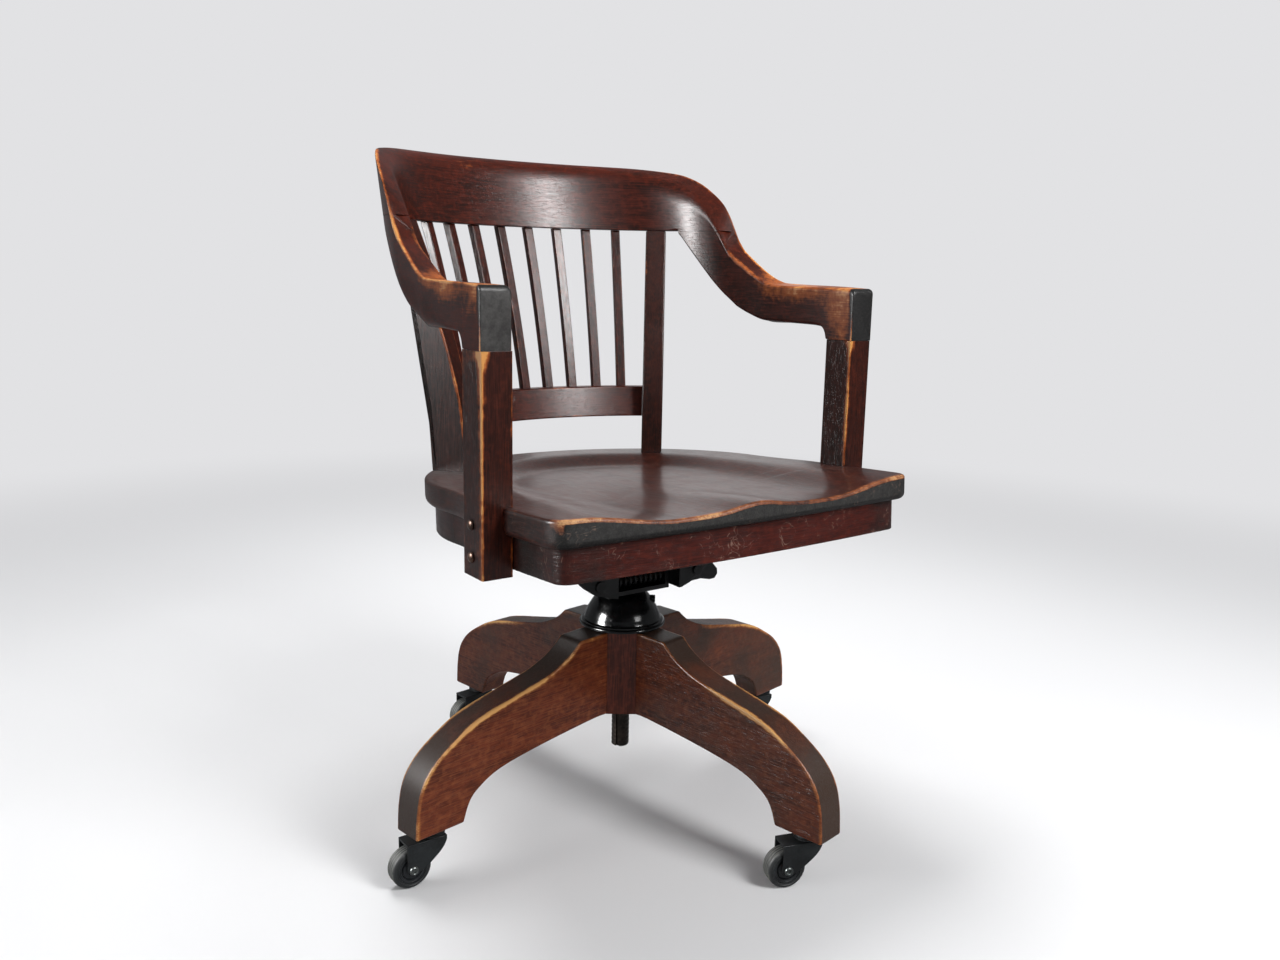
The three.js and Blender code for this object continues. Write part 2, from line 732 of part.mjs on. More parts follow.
function seatGeometry() {
  const steps = 64;
  const inner = 8;
  const firstRing = 0.25; // of the space between two rings, the innermost ring's reach
  const centre = new THREE.Vector2(0, -seatFront / 4);
  const ringAt = (inset, height) =>
    seatOutline(inset)
      .getSpacedPoints(steps)
      .slice(0, steps)
      .map((point) => [point.x, point.y, height]);
  const rim = ringAt(seatEdge, 0);
  const rings = [];
  for (let ring = 0; ring <= inner; ring += 1) {
    const share = (ring + firstRing) / (inner + firstRing);
    rings.push(
      rim.map(([x, y]) => {
        const [px, py] = [centre.x + (x - centre.x) * share, centre.y + (y - centre.y) * share];
        return [px, py, -dishAt(px, py)];
      }),
    );
  }
  const drop = rings[inner].map((point) => point[2]);
  rings.push(ringAt(0, -seatEdge).map(([x, y, z], i) => [x, y, z + drop[i]]));
  rings.push(ringAt(0, -seatThickness + 2 * seatEdge));
  rings.push(ringAt(2 * seatEdge, -seatThickness));
  return skin(rings.reverse());
}

// Puts a piece that is drawn level, with its top at zero, onto the sloping seat.
function onSeat(geometry) {
  return geometry.rotateX(-seatTilt * degree).translate(0, 0, seatHeight);
}

const postOuter = seatHalfWidth + postProud;
const postInner = postOuter - postWidth;
const postSpread = (postInner + postOuter) / 2;
const postForward = seatFront - postSetBack;
const postBottom = seatHeight - postDrop;
const armJoint = seatHeight + postRise;
const boltForward = postForward - boltSetBack;
const boltHeights = [seatHeight - boltLowDrop, seatHeight - boltHighDrop];
const postFront = -postForward - postDepth / 2;
const postBack = -postForward + postDepth / 2;

// The space that an arm post takes up, with air round it.
function postRoom(side) {
  const [inner, outer] = [postInner - gap, postOuter + overrun];
  const [left, right] = side > 0 ? [inner, outer] : [-outer, -inner];
  return box(
    [left, postFront - gap, postBottom - overrun],
    [right, postBack + gap, armJoint],
  );
}

// The hole for a bolt that comes in through the side of the chair.
function boltRoom(side, height) {
  const start = postInner - boltBite - gap;
  return crossRod(boltRadius + gap, start, postOuter + overrun)
    .rotateZ(side > 0 ? 0 : Math.PI)
    .translate(0, -boltForward, height);
}
const sides = [["left", 1], ["right", -1]];
const postRooms = sides.map(([, side]) => postRoom(side));
const boltRooms = sides.flatMap(([, side]) => boltHeights.map((height) => boltRoom(side, height)));

// The screws that hold the irons up under the seat: [x, y, name] of each.
const ironScrewTop = ironScrewBite - seatThickness;
const ironScrewSeat = -seatThickness - gap - ironFlangeThickness;
const ironScrews = sides.flatMap(([name, side]) => [
  [side * (flangeMiddle + ironFlangeWidth / 4), ironScrewInset - ironFront, "front_" + name],
  [side * (flangeMiddle + ironFlangeWidth / 4), ironBack - ironScrewInset, "back_" + name],
]);
const ironScrewRooms = ironScrews.map(([x, y]) =>
  onSeat(
    rod(ironScrewRadius + gap, ironScrewSeat - overrun, ironScrewTop + gap).translate(x, y, 0),
  ),
);
sides.forEach(([name, side]) => {
  const casting = seatIronGeometry(name);
  const placed = side > 0 ? casting : casting.mirror([1, 0, 0]);
  piece("seat_iron_" + name, geometryOf(less(placed, ...ironScrewRooms)), iron);
});
ironScrews.forEach(([x, y, name]) => {
  const head = ironScrewSeat - gap;
  const screw = turned(
    [
      [0, head - ironScrewHeadHeight],
      [ironScrewRadius, head - ironScrewHeadHeight],
      [ironScrewHead, head],
      [ironScrewRadius, head],
      [ironScrewRadius, ironScrewTop],
      [0, ironScrewTop],
    ],
    smallSteps,
  ).translate(x, y, 0);
  piece("iron_screw_" + name, onSeat(screw), steel);
});

const seatCuts = [...postRooms, ...boltRooms, ...ironScrewRooms];
piece("seat", geometryOf(less(solid(onSeat(seatGeometry())), ...seatCuts)), wood);

// Apron: four boards under the seat, the rear one bent, flush with the inner side of the posts.
const apronInset = seatHalfWidth - postInner + gap;
const apronTop = -seatThickness - gap;
const apronBottom = apronTop - apronHeight;
const apronFrontY = -(seatFront - apronInset);
const apronFrontBack = apronFrontY + apronThickness + seatCorner / 2;

function apronRing() {
  const curveSteps = 12;
  const ring = seatOutline(apronInset, apronCorner);
  const inside = seatOutline(apronInset + apronThickness).getPoints(curveSteps);
  ring.holes.push(new THREE.Path(inside));
  return solid(slab(ring, apronBottom, apronTop, curveSteps));
}
const wide = seatHalfWidth + overrun;
const apronCuts = {
  apron_front: [[-wide, -seatFront - 2 * seatFrontBow], [wide, apronFrontBack - gap]],
  apron_left: [[0, apronFrontBack], [wide, seatCentreBack - gap]],
  apron_right: [[-wide, apronFrontBack], [0, seatCentreBack - gap]],
  apron_back: [[-wide, seatCentreBack], [wide, seatRearRadius + seatCentreBack + overrun]],
};
Object.entries(apronCuts).forEach(([name, [low, high]]) => {
  const cutter = box([...low, apronBottom - overrun], [...high, apronTop + overrun]);
  const board = geometryOf(apronRing().intersect(solid(cutter)));
  piece(name, geometryOf(less(solid(onSeat(board)), ...boltRooms)), darkWood);
});

// Arm posts: square posts let into the seat's sides and bolted to the apron.
sides.forEach(([name, side]) => {
  const post = box(
    [side * postSpread - postWidth / 2, postFront, postBottom],
    [side * postSpread + postWidth / 2, postBack, armJoint - gap],
  );
  piece("arm_post_" + name, geometryOf(less(solid(post), ...boltRooms)), wood);
});

// Bolts: round heads on the posts' outer sides.
function boltGeometry() {
  const headStart = postOuter + gap;
  const head = roundHeadShares.map(([reach, rise]) => [
    reach * boltHeadRadius,
    headStart + rise * boltHeadHeight,
  ]);
  const start = postInner - boltBite;
  const shank = [[0, start], [boltRadius, start], [boltRadius, headStart]];
  return turned([...shank, ...head], smallSteps).rotateY(90 * degree);
}
sides.forEach(([name, side]) => {
  boltHeights.forEach((height, i) => {
    const bolt = piece("post_bolt_" + name + "_" + (i + 1), boltGeometry(), iron);
    bolt.rotation.z = side > 0 ? 0 : Math.PI;
    bolt.position.set(0, -boltForward, height);
  });
});

// Bow: the arms and the crest follow one plan line, drawn at the height of the scarf: straight
// arms, then a shoulder bend, then the long arc of the back.
const scarfHeight = seatHeight + scarfRise;
const crestTop = scarfHeight + crestHeight;
const bowCentre = bowBack - bowRadius;
const [shoulderX, shoulderY] = [postSpread - shoulderDraw, shoulderBack];
const armSlope = (postSpread - shoulderX) / (shoulderY + postForward);
const armAngle = Math.atan(armSlope);
const toCentre = [shoulderX, shoulderY - bowCentre];
const inward = [-Math.cos(armAngle), -Math.sin(armAngle)];
const shoulderRadius =
  (bowRadius ** 2 - toCentre[0] ** 2 - toCentre[1] ** 2) /
  (2 * (bowRadius + inward[0] * toCentre[0] + inward[1] * toCentre[1]));
const bendX = shoulderX + shoulderRadius * inward[0];
const bendY = shoulderY + shoulderRadius * inward[1];
const bendEnd = Math.atan2(bendX, bendY - bowCentre);
const bendEndY = bowCentre + bowRadius * Math.cos(bendEnd);

// Where the plan line passes a place Y, and its outward direction, on the left side.
function bowAt(y) {
  if (y < shoulderY) {
    return { x: shoulderX + armSlope * (shoulderY - y), y, out: [1, 0] };
  }
  const [middleX, middleY, radius] =
    y < bendEndY ? [bendX, bendY, shoulderRadius] : [0, bowCentre, bowRadius];
  const cosine = Math.min(1, (y - middleY) / radius);
  const sine = Math.sqrt(1 - cosine ** 2);
  return { x: middleX + radius * sine, y, out: [sine, cosine] };
}

// The bow's side view, from the front of the arm to the middle of the back. The first number of
// a row is the share of the depth, the second the share of the height from the post to the crest.
const outerTopShares = [
  [0, 0.274], [0.114, 0.283], [0.25, 0.288], [0.334, 0.293], [0.377, 0.309], [0.441, 0.349],
  [0.488, 0.394], [0.533, 0.453], [0.554, 0.489], [0.571, 0.542], [0.584, 0.613], [0.594, 0.68],
  [0.612, 0.781], [0.645, 0.843], [0.679, 0.893], [0.712, 0.929], [0.744, 0.953], [0.8, 0.973],
  [0.87, 0.988], [1, 1],
];
const innerTopShares = [
  [0, 0.274], [0.114, 0.277], [0.25, 0.278], [0.334, 0.282], [0.38, 0.298], [0.453, 0.346],
  [0.507, 0.392], [0.554, 0.45], [0.576, 0.497], [0.592, 0.55], [0.609, 0.604], [0.64, 0.689],
  [0.66, 0.731], [0.692, 0.787], [0.725, 0.83], [0.761, 0.872], [0.82, 0.925], [0.89, 0.961],
  [1, 0.975],
];
const bottomShares = [
  [0, 0], [0.0975, 0], [0.103, 0.032], [0.112, 0.055], [0.125, 0.066], [0.163, 0.071],
  [0.25, 0.073], [0.334, 0.075], [0.377, 0.078], [0.447, 0.091], [0.518, 0.115], [0.563, 0.146],
  [0.594, 0.182], [0.629, 0.229], [0.661, 0.288], [0.69, 0.358], [0.717, 0.433], [0.741, 0.508],
  [0.762, 0.573], [0.778, 0.6], [1, 0.6],
];
// The bow's thickness, as a share of the post's width less the crest's thickness.
const thicknessShares = [
  [0, 1], [0.1, 1], [0.3, 0.72], [0.57, 0.46], [0.65, 0.2], [0.74, 0], [1, 0],
];

// How much of the swoop's rounding the outer face has.
const swoopShares = [[0.25, 0], [0.45, 1], [0.72, 1], [0.765, 0.3], [0.85, 0], [1, 0]];

const bowDepth = bowBack - postFront;
const bowHeight = crestTop - armJoint;
const crestBottom = scarfHeight + gap / 2;

// One ring of the bow at a place Y of the plan line, on the left for side 1, the right for -1.
function bowRing(y, side) {
  const place = (y - postFront) / bowDepth;
  const { x, out } = bowAt(y);
  const half = (crestThickness + (postWidth - crestThickness) * along(thicknessShares, place)) / 2;
  const outerTop = armJoint + bowHeight * along(outerTopShares, place);
  const innerTop = armJoint + bowHeight * along(innerTopShares, place);
  const rawBottom = armJoint + bowHeight * along(bottomShares, place);
  const bottom = place > bottomShares.at(-3)[0] ? crestBottom : Math.min(rawBottom, crestBottom);
  const edge = armEdge;
  const lean = bowLean * smooth(y / bowLeanStart);
  const swoop = along(swoopShares, place);
  const section = [
    [-half + edge, bottom],
    [half - edge - (swoopRound - edge) * swoop, bottom],
    [half, bottom + edge + (swoopRise - edge) * swoop],
    [half, outerTop - edge],
    [half - edge, outerTop],
    [-half + edge, innerTop],
    [-half, innerTop - edge],
    [-half, bottom + edge],
  ];
  return section.map(([offset, height]) => [
    side * (x + offset * out[0]),
    y + offset * out[1] + lean * (height - scarfHeight),
    height,
  ]);
}

function bowGeometry() {
  const armSteps = 44;
  const crestSteps = 12;
  const heelRows = 6; // rows of the underside that turn up out of the joint
  const places = new Set();
  for (let i = 0; i <= armSteps; i += 1) {
    places.add(postFront + ((bendEndY - postFront) * i) / armSteps);
  }
  bottomShares.slice(0, heelRows).forEach(([share]) => places.add(postFront + share * bowDepth));
  for (let i = 1; i < crestSteps; i += 1) {
    places.add(bowCentre + bowRadius * Math.cos(bendEnd * (1 - i / crestSteps)));
  }
  const half = [...places].sort((a, b) => a - b);
  const rings = half.map((y) => bowRing(y, 1));
  rings.push(bowRing(bowBack, 1));
  const left = half.map((y) => bowRing(y, -1)).reverse();
  return skin([...rings, ...left].reverse());
}

const bow = solid(bowGeometry());
const wideEnough = postOuter + overrun;
const low = armJoint - overrun;
const high = crestTop + overrun;
const farBack = bowBack + bowDepth;
const lowerBow = (side) =>
  bow.intersect(
    solid(
      box(
        [side > 0 ? 0 : -wideEnough, postFront - overrun, low],
        [side > 0 ? wideEnough : 0, farBack, scarfHeight - gap / 2],
      ),
    ),
  );
const upperBow = bow.intersect(
  solid(
    box(
      [-wideEnough, postFront - overrun, scarfHeight + gap / 2],
      [wideEnough, farBack, high],
    ),
  ),
);
sides.forEach(([name, side]) => piece("arm_" + name, geometryOf(lowerBow(side)), wood));
piece("crest_rail", geometryOf(upperBow), wood);

// Back posts: sawn planks set on edge along the radius, wide at the seat and narrow at the crest.
// The rows are shares of the height from the seat to the crest and of the reach in that plane.
const backPostFrontShares = [
  [0, 0], [0.246, 0.093], [0.333, 0.153], [0.424, 0.24], [0.512, 0.333], [0.6, 0.444],
  [0.708, 0.567], [1, 1],
];
const backPostBackShares = [
  [0, 0], [0.246, 0.107], [0.424, 0.296], [0.59, 0.464], [0.65, 0.52], [1, 1],
];
const postTurn = backPostTurn * degree;

function backPostGeometry(side) {
  const rootHeight = seatTopAt(backPostFront * Math.cos(postTurn)) - 2 * seatEdge;
  const headHeight = scarfHeight - gap;
  const centreReach =
    bowCentre * Math.cos(postTurn) + Math.sqrt(bowRadius ** 2 - (bowCentre * Math.sin(postTurn)) ** 2);
  const headFront = centreReach - crestThickness / 2 - backPostProud;
  const headBack = headFront + backPostHead;
  const rootBack = backPostFront + backPostRoot;
  const steps = 14;
  const front = [];
  const back = [];
  for (let i = 0; i <= steps; i += 1) {
    const share = i / steps;
    const height = rootHeight + (headHeight - rootHeight) * share;
    const frontShare = along(backPostFrontShares, share);
    front.push([backPostFront + (headFront - backPostFront) * frontShare, height]);
    back.push([rootBack + (headBack - rootBack) * along(backPostBackShares, share), height]);
  }
  const outline = shapeFrom([...back, ...front.reverse()]);
  const turn = 90 * degree - postTurn;
  const offset = -backPostSide;
  const half = backPostWidth / 2;
  const left = solid(plank(outline, offset - half, offset + half).rotateZ(turn));
  const seatRoom = onSeat(
    box(
      [-seatHalfWidth - overrun, -seatFront, -seatThickness],
      [seatHalfWidth + overrun, seatFront + seatCentreBack, gap],
    ),
  );
  const cut = less(left, seatRoom);
  return geometryOf(side > 0 ? cut : cut.mirror([1, 0, 0]));
}
sides.forEach(([name, side]) => piece("back_post_" + name, backPostGeometry(side), wood));

// Lower rail: bent like the crest and leaning with it, between the two back posts.
const railBottom = seatHeight + railRise;
const railTop = railBottom + railHeight;

function railBar() {
  const steps = 20;
  const rings = [];
  for (let i = 0; i <= steps; i += 1) {
    const angle = railSpread * degree * ((2 * i) / steps - 1);
    const [half, edge] = [railThickness / 2, railEdge];
    const section = [
      [-half + edge, railBottom], [half - edge, railBottom],
      [half, railBottom + edge], [half, railTop - edge],
      [half - edge, railTop], [-half + edge, railTop],
      [-half, railTop - edge], [-half, railBottom + edge],
    ];
    rings.push(
      section.map(([offset, height]) => [
        (bowRadius + offset) * Math.sin(angle),
        bowCentre + (bowRadius + offset) * Math.cos(angle) + bowLean * (height - scarfHeight),
        height,
      ]),
    );
  }
  return skin(rings);
}

// All the space on a back post's plank and outside it, with air on its inner side.
function plankRoom(side) {
  const far = bowBack + bowRadius;
  const inner = -backPostSide + backPostWidth / 2 + gap;
  const room = box([-far, -far, 0], [far, inner, crestTop]).rotateZ(90 * degree - postTurn);
  return side > 0 ? solid(room) : solid(room).mirror([1, 0, 0]);
}
const railPiece = sides.reduce(
  (rail, [, side]) => rail.subtract(plankRoom(side)),
  solid(railBar()),
);
piece("lower_back_rail", geometryOf(railPiece), wood);

// Slats: square bars that fan out from the rail to the crest, a little bowed.
function slatGeometry(number) {
  const place = number - (slatCount - 1) / 2;
  const lowAngle = place * slatRailPitch * degree;
  const highAngle = place * slatPitch * degree;
  const bottom = railTop + gap;
  const top = scarfHeight - gap;
  const steps = 8;
  const rings = [];
  for (let i = 0; i <= steps; i += 1) {
    const share = i / steps;
    const angle = lowAngle + (highAngle - lowAngle) * share;
    const height = bottom + (top - bottom) * share;
    const reach = bowRadius - slatBow * 4 * share * (1 - share);
    const [sine, cosine] = [Math.sin(angle), Math.cos(angle)];
    const corners = [[-1, -1], [1, -1], [1, 1], [-1, 1]];
    rings.push(
      corners.map(([u, v]) => {
        const across = (u * slatWidth) / 2;
        const deep = (v * slatDepth) / 2;
        return [
          (reach + deep) * sine + across * cosine,
          bowCentre + (reach + deep) * cosine - across * sine + bowLean * (height - scarfHeight),
          height,
        ];
      }),
    );
  }
  return skin(rings);
}
for (let number = 0; number < slatCount; number += 1) {
  piece("slat_" + (number + 1), slatGeometry(number), wood);
}

// The part's origin is the middle of its footprint on the floor.
const bounds = new THREE.Box3().setFromObject(chair, true);
const middle = bounds.getCenter(new THREE.Vector3());
chair.position.set(-middle.x, -middle.y, 0);

export default chair;
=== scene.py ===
"""A bankers swivel chair in dark mahogany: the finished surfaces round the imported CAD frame.

Metres, +Z up, the sitter faces -Y. Sections follow the chair as it is put together.
"""

import json
import math

import bmesh
import bpy
import numpy as np
from mathutils import Matrix, Vector


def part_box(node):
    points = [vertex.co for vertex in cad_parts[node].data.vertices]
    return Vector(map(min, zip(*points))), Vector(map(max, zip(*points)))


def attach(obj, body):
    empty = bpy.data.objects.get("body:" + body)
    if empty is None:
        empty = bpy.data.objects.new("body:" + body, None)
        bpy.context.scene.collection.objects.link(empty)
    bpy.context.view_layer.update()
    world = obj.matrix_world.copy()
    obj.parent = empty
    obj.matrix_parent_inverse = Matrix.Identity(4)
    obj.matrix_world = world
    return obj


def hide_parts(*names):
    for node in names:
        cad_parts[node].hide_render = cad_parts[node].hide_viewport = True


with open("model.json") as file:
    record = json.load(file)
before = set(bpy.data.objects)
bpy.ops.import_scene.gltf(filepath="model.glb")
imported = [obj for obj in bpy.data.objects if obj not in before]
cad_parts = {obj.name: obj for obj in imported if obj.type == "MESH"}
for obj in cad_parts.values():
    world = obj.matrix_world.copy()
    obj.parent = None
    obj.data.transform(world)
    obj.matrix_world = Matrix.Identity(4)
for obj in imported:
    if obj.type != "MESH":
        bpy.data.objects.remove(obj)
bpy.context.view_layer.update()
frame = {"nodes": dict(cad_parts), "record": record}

# Base legs: four curved feet sawn from thick mahogany plank, butted to the hub. The varnish is
# dark, nearly black on the upper faces, and rubbed through to golden wood along the upper edges.
body_of = {
    node: body for body, nodes in frame["record"]["behaviour"]["bodies"].items() for node in nodes
}
spindle_low, spindle_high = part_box("spindle")
axis_x = (spindle_low.x + spindle_high.x) / 2
clearance = 0.0003


def shades(red, green, blue):
    """A colour written as a picture's 0 to 255 values, as the linear colour that a node takes."""
    parts = np.array([red, green, blue]) / 255
    linear = np.where(parts <= 0.04045, parts / 12.92, ((parts + 0.055) / 1.055) ** 2.4)
    return (*linear, 1.0)


class Value:
    """A number inside a finish. Arithmetic on it adds Math nodes."""

    def __init__(self, finish, socket):
        self.finish = finish
        self.socket = socket

    def math(self, operation, first, second):
        return self.finish.node("ShaderNodeMath", {"operation": operation}, {0: first, 1: second})

    def __add__(self, other):
        return self.math("ADD", self, other)

    def __radd__(self, other):
        return self.math("ADD", other, self)

    def __sub__(self, other):
        return self.math("SUBTRACT", self, other)

    def __rsub__(self, other):
        return self.math("SUBTRACT", other, self)

    def __mul__(self, other):
        return self.math("MULTIPLY", self, other)

    def __rmul__(self, other):
        return self.math("MULTIPLY", other, self)

    def between(self, low, high):
        """Nought below low, one above high, and a smooth rise from one to the other."""
        return self.finish.node(
            "ShaderNodeMapRange",
            {"interpolation_type": "SMOOTHSTEP"},
            {"Value": self, "From Min": low, "From Max": high},
        )


class Finish:
    """A material on a Principled shader. node() makes any node of it."""

    def __init__(self, name, constants):
        self.material = bpy.data.materials.new(name)
        self.material.use_nodes = True
        self.tree = self.material.node_tree
        self.shader = self.tree.nodes["Principled BSDF"]
        for socket, value in constants.items():
            self.shader.inputs[socket].default_value = value

    def put(self, socket, value):
        if isinstance(value, Value):
            self.tree.links.new(value.socket, socket)
        else:
            socket.default_value = value

    def node(self, kind, settings, sockets, output=0):
        made = self.tree.nodes.new(kind)
        for name, value in settings.items():
            setattr(made, name, value)
        for key, value in sockets.items():
            self.put(made.inputs[key], value)
        return Value(self, made.outputs[output])

    def attribute(self, name, output="Fac"):
        return self.node("ShaderNodeAttribute", {"attribute_name": name}, {}, output)

    def place(self):
        return self.node("ShaderNodeTexCoord", {}, {}, "Object")

    def stretched(self, vector, factors):
        sockets = {0: vector, 1: factors}
        return self.node("ShaderNodeVectorMath", {"operation": "MULTIPLY"}, sockets)

    def noise(self, vector, scale, detail=2.0, distortion=0.0):
        sockets = {"Vector": vector, "Scale": scale, "Detail": detail, "Distortion": distortion}
        return self.node("ShaderNodeTexNoise", {}, sockets)

    def mixed(self, factor, first, second):
        sockets = {0: factor, 6: first, 7: second}
        return self.node("ShaderNodeMix", {"data_type": "RGBA"}, sockets, 2)

    def finished(self, colour, roughness, height, depth, strength=1.0):
        """Feeds the shader: base colour, roughness, and a height in shares of depth as bump."""
        bump = self.node("ShaderNodeBump", {}, {"Height": height, "Distance": depth, "Strength": strength})
        sockets = {"Base Color": colour, "Roughness": roughness, "Normal": bump}
        for key, value in sockets.items():
            self.put(self.shader.inputs[key], value)
        return self.material


def varnished(name, deep, body, warm, thin, bare, grime_and_shade, scuffs=0.0, drag=0.14):
    """Varnished mahogany, its colours in picture values. The grain attribute holds the place in the
    board, with Z along the grain. Broad figure and fine fibre vary the colour. The attribute worn
    thins the varnish and then bares the wood, dark brings the black of handled end grain and on some
    pieces painted shade, past one it brings a paler grey crust that is partly painted reflection, and
    polish thickens the coat. Scuffs are pale crossing lines in patches, and drag is how much duller
    the fibres are than the varnish between them."""
    deep, body, warm, thin, bare, grime_and_shade = (
        shades(*tone) for tone in (deep, body, warm, thin, bare, grime_and_shade)
    )
    finish = Finish(name, {"IOR": 1.29, "Coat Roughness": 0.2, "Coat IOR": 1.4})
    grain = finish.attribute("grain", "Vector")
    figure = finish.noise(finish.stretched(grain, (30, 30, 5)), 1.0, 4.0, 0.8)
    fibre = finish.noise(finish.stretched(grain, (620, 620, 34)), 1.0, 3.0)
    pores = finish.noise(finish.stretched(grain, (1500, 1500, 70)), 1.0, 1.0).between(0.58, 0.72)
    cloud = finish.noise(finish.place(), 13.0, 4.0)
    fleck = finish.noise(finish.place(), 130.0, 3.0)
    worn = finish.attribute("worn") + (cloud - 0.5) * 0.9 + (fleck - 0.5) * 0.35 + (fibre - 0.5) * 0.25
    thinned = worn.between(0.32, 0.62)
    rubbed = worn.between(0.56, 0.72)
    dark = finish.attribute("dark")
    # Dark mixes in the grime colour: real grime, and painted shade on the pieces that carry it.
    grimed_and_shaded = (dark + (cloud - 0.5) * 0.7 + (fibre - 0.5) * 0.3).between(0.35, 0.75)
    mottle = finish.noise(finish.stretched(grain, (150, 150, 60)), 1.0, 5.0, 0.5)
    colour = finish.mixed(figure.between(0.3, 0.6), deep, body)
    colour = finish.mixed(mottle.between(0.35, 0.7) * 0.6, colour, deep)
    streak = fibre.between(0.4, 0.7) * 0.5 + fleck.between(0.45, 0.7) * 0.35
    colour = finish.mixed(streak, colour, warm)
    colour = finish.mixed(pores * 0.55, colour, deep)
    skin = finish.noise(finish.place(), 420.0, 3.0, 0.8)
    # Past one, dark turns the grime toward a paler grey: a crust that is partly painted reflection.
    grime_shade_and_sheen = skin.between(0.35, 0.8) * 0.14 + dark.between(1, 2) * (fleck.between(0.3, 0.7) * 0.35 + 0.42)
    grime_shade_and_sheen = finish.mixed(grime_shade_and_sheen, grime_and_shade, shades(92, 90, 88))
    colour = finish.mixed(grimed_and_shaded, colour, grime_shade_and_sheen)
    colour = finish.mixed(thinned, colour, thin)
    colour = finish.mixed(rubbed, colour, bare)
    roughness = 0.25 + fibre * drag + rubbed * 0.25 + grimed_and_shaded * 0.1
    finish.put(finish.shader.inputs["Coat Weight"], finish.attribute("polish") * 0.3 + 0.06)
    if scuffs:
        lines = finish.noise(finish.place(), 34.0, 3.0, 1.6)
        line = lines.between(0.488, 0.5) - lines.between(0.5, 0.512)
        patch = finish.noise(finish.place(), 22.0, 2.0).between(0.5, 0.62)
        scratch = line * patch * fleck.between(0.35, 0.6) * scuffs
        colour = finish.mixed(scratch, colour, shades(140, 110, 96))
        roughness = roughness + scratch * 0.2 + patch * 0.08 * scuffs
    height = fibre * (0.25 + drag * 2.5) - pores * 0.5 + skin * grimed_and_shaded * 1.8
    fibre_depth = 0.0002
    return finish.finished(colour, roughness, height, fibre_depth, 0.7)


leg_wood = varnished(
    "leg_mahogany",
    deep=(58, 26, 17), body=(102, 47, 27), warm=(136, 74, 45),
    thin=(150, 88, 46), bare=(214, 158, 90), grime_and_shade=(60, 42, 32),
)


def smooth_line(points, steps):
    """A line through all the points. Between two of them it is the cubic whose slope at a point
    is half the way from the point before it to the point after."""
    points = np.asarray(points, float)
    ends = np.vstack([points[:1], points, points[-1:]])
    slopes = (ends[2:] - ends[:-2]) / 2
    t = np.linspace(0, 1, steps, endpoint=False)[None, :, None]
    start, end = points[:-1, None], points[1:, None]
    go, stop = slopes[:-1, None], slopes[1:, None]
    line = start * (1 - t) ** 2 * (1 + 2 * t) + end * t**2 * (3 - 2 * t)
    line = line + go * t * (1 - t) ** 2 - stop * t**2 * (1 - t)
    return np.vstack([line.reshape(-1, points.shape[1]), points[-1:]])


def points_at(x, y, z):
    """Points from their three parts, each an array or a number that broadcasts with the others."""
    return np.stack(np.broadcast_arrays(x, y, z), -1)


def shell(grid, closed=False, **attributes):
    """A closed surface over a grid of points, rings by places round a ring: quads between rings,
    and a flat face over each end unless the rings close. Faces turn outwards by the sign of the
    volume that they enclose. An attribute is a value for each point, or one value for all."""
    rings, count = grid.shape[:2]
    ring = np.arange(rings if closed else rings - 1)[:, None]
    near = np.arange(count)[None, :]
    after = (near + 1) % count
    above = (ring + 1) % rings
    here, next_ring = ring * count, above * count
    quads = np.stack([here + near, here + after, next_ring + after, next_ring + near], -1)
    quads = quads.reshape(-1, 4)
    flat = grid.reshape(-1, 3)
    a, b, c, d = (flat[quads[:, i]] - flat.mean(0) for i in range(4))
    volume = np.sum(np.cross(a, b) * c + np.cross(a, c) * d)
    faces = quads.tolist()
    if not closed:
        faces += [list(range(count))[::-1], list(range((rings - 1) * count, rings * count))]
        for ends, sign in ((grid[0], -1), (grid[-1], 1)):
            fan = ends - flat.mean(0)
            volume += sign * np.sum(np.cross(fan[1:-1], fan[2:]) @ fan[0])
    if volume < 0:
        faces = [face[::-1] for face in faces]
    return flat, faces, {
        name: np.broadcast_to(value, grid.shape[:2] if np.ndim(value) < 3 else grid.shape)
        for name, value in attributes.items()
    }


def dressed(node, mesh, material, crease=math.radians(35)):
    """Puts a mesh in the scene for a CAD node: it stands for the node and rides on its body."""
    mesh.materials.append(material)
    mesh.shade_smooth()
    mesh.set_sharp_from_angle(angle=crease)
    made = bpy.data.objects.new(node + "_finished", mesh)
    bpy.context.scene.collection.objects.link(made)
    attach(made, body_of[node])
    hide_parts(node)
    return made


def piece(node, shells, material):
    """Makes the finished piece of a CAD node from some shells."""
    points = np.vstack([points for points, _, _ in shells])
    starts = np.cumsum([0, *(len(points) for points, _, _ in shells)])
    faces = [[corner + int(start) for corner in face]
             for (_, shell_faces, _), start in zip(shells, starts) for face in shell_faces]
    mesh = bpy.data.meshes.new(node + "_finished")
    mesh.from_pydata(points, [], faces)
    for key in shells[0][2]:
        values = np.concatenate([attributes[key].ravel() for _, _, attributes in shells])
        kind = "FLOAT" if len(values) == len(points) else "FLOAT_VECTOR"
        field = "value" if kind == "FLOAT" else "vector"
        mesh.attributes.new(key, kind, "POINT").data.foreach_set(field, values.astype(np.float32))
    dressed(node, mesh, material)


def turned_about(grid, turn, centre=(0, 0)):
    """The grid turned about the vertical through the origin, then moved to the centre."""
    cosine, sine = math.cos(turn), math.sin(turn)
    x = grid[..., 0] * cosine - grid[..., 1] * sine + centre[0]
    y = grid[..., 0] * sine + grid[..., 1] * cosine + centre[1]
    return points_at(x, y, grid[..., 2])


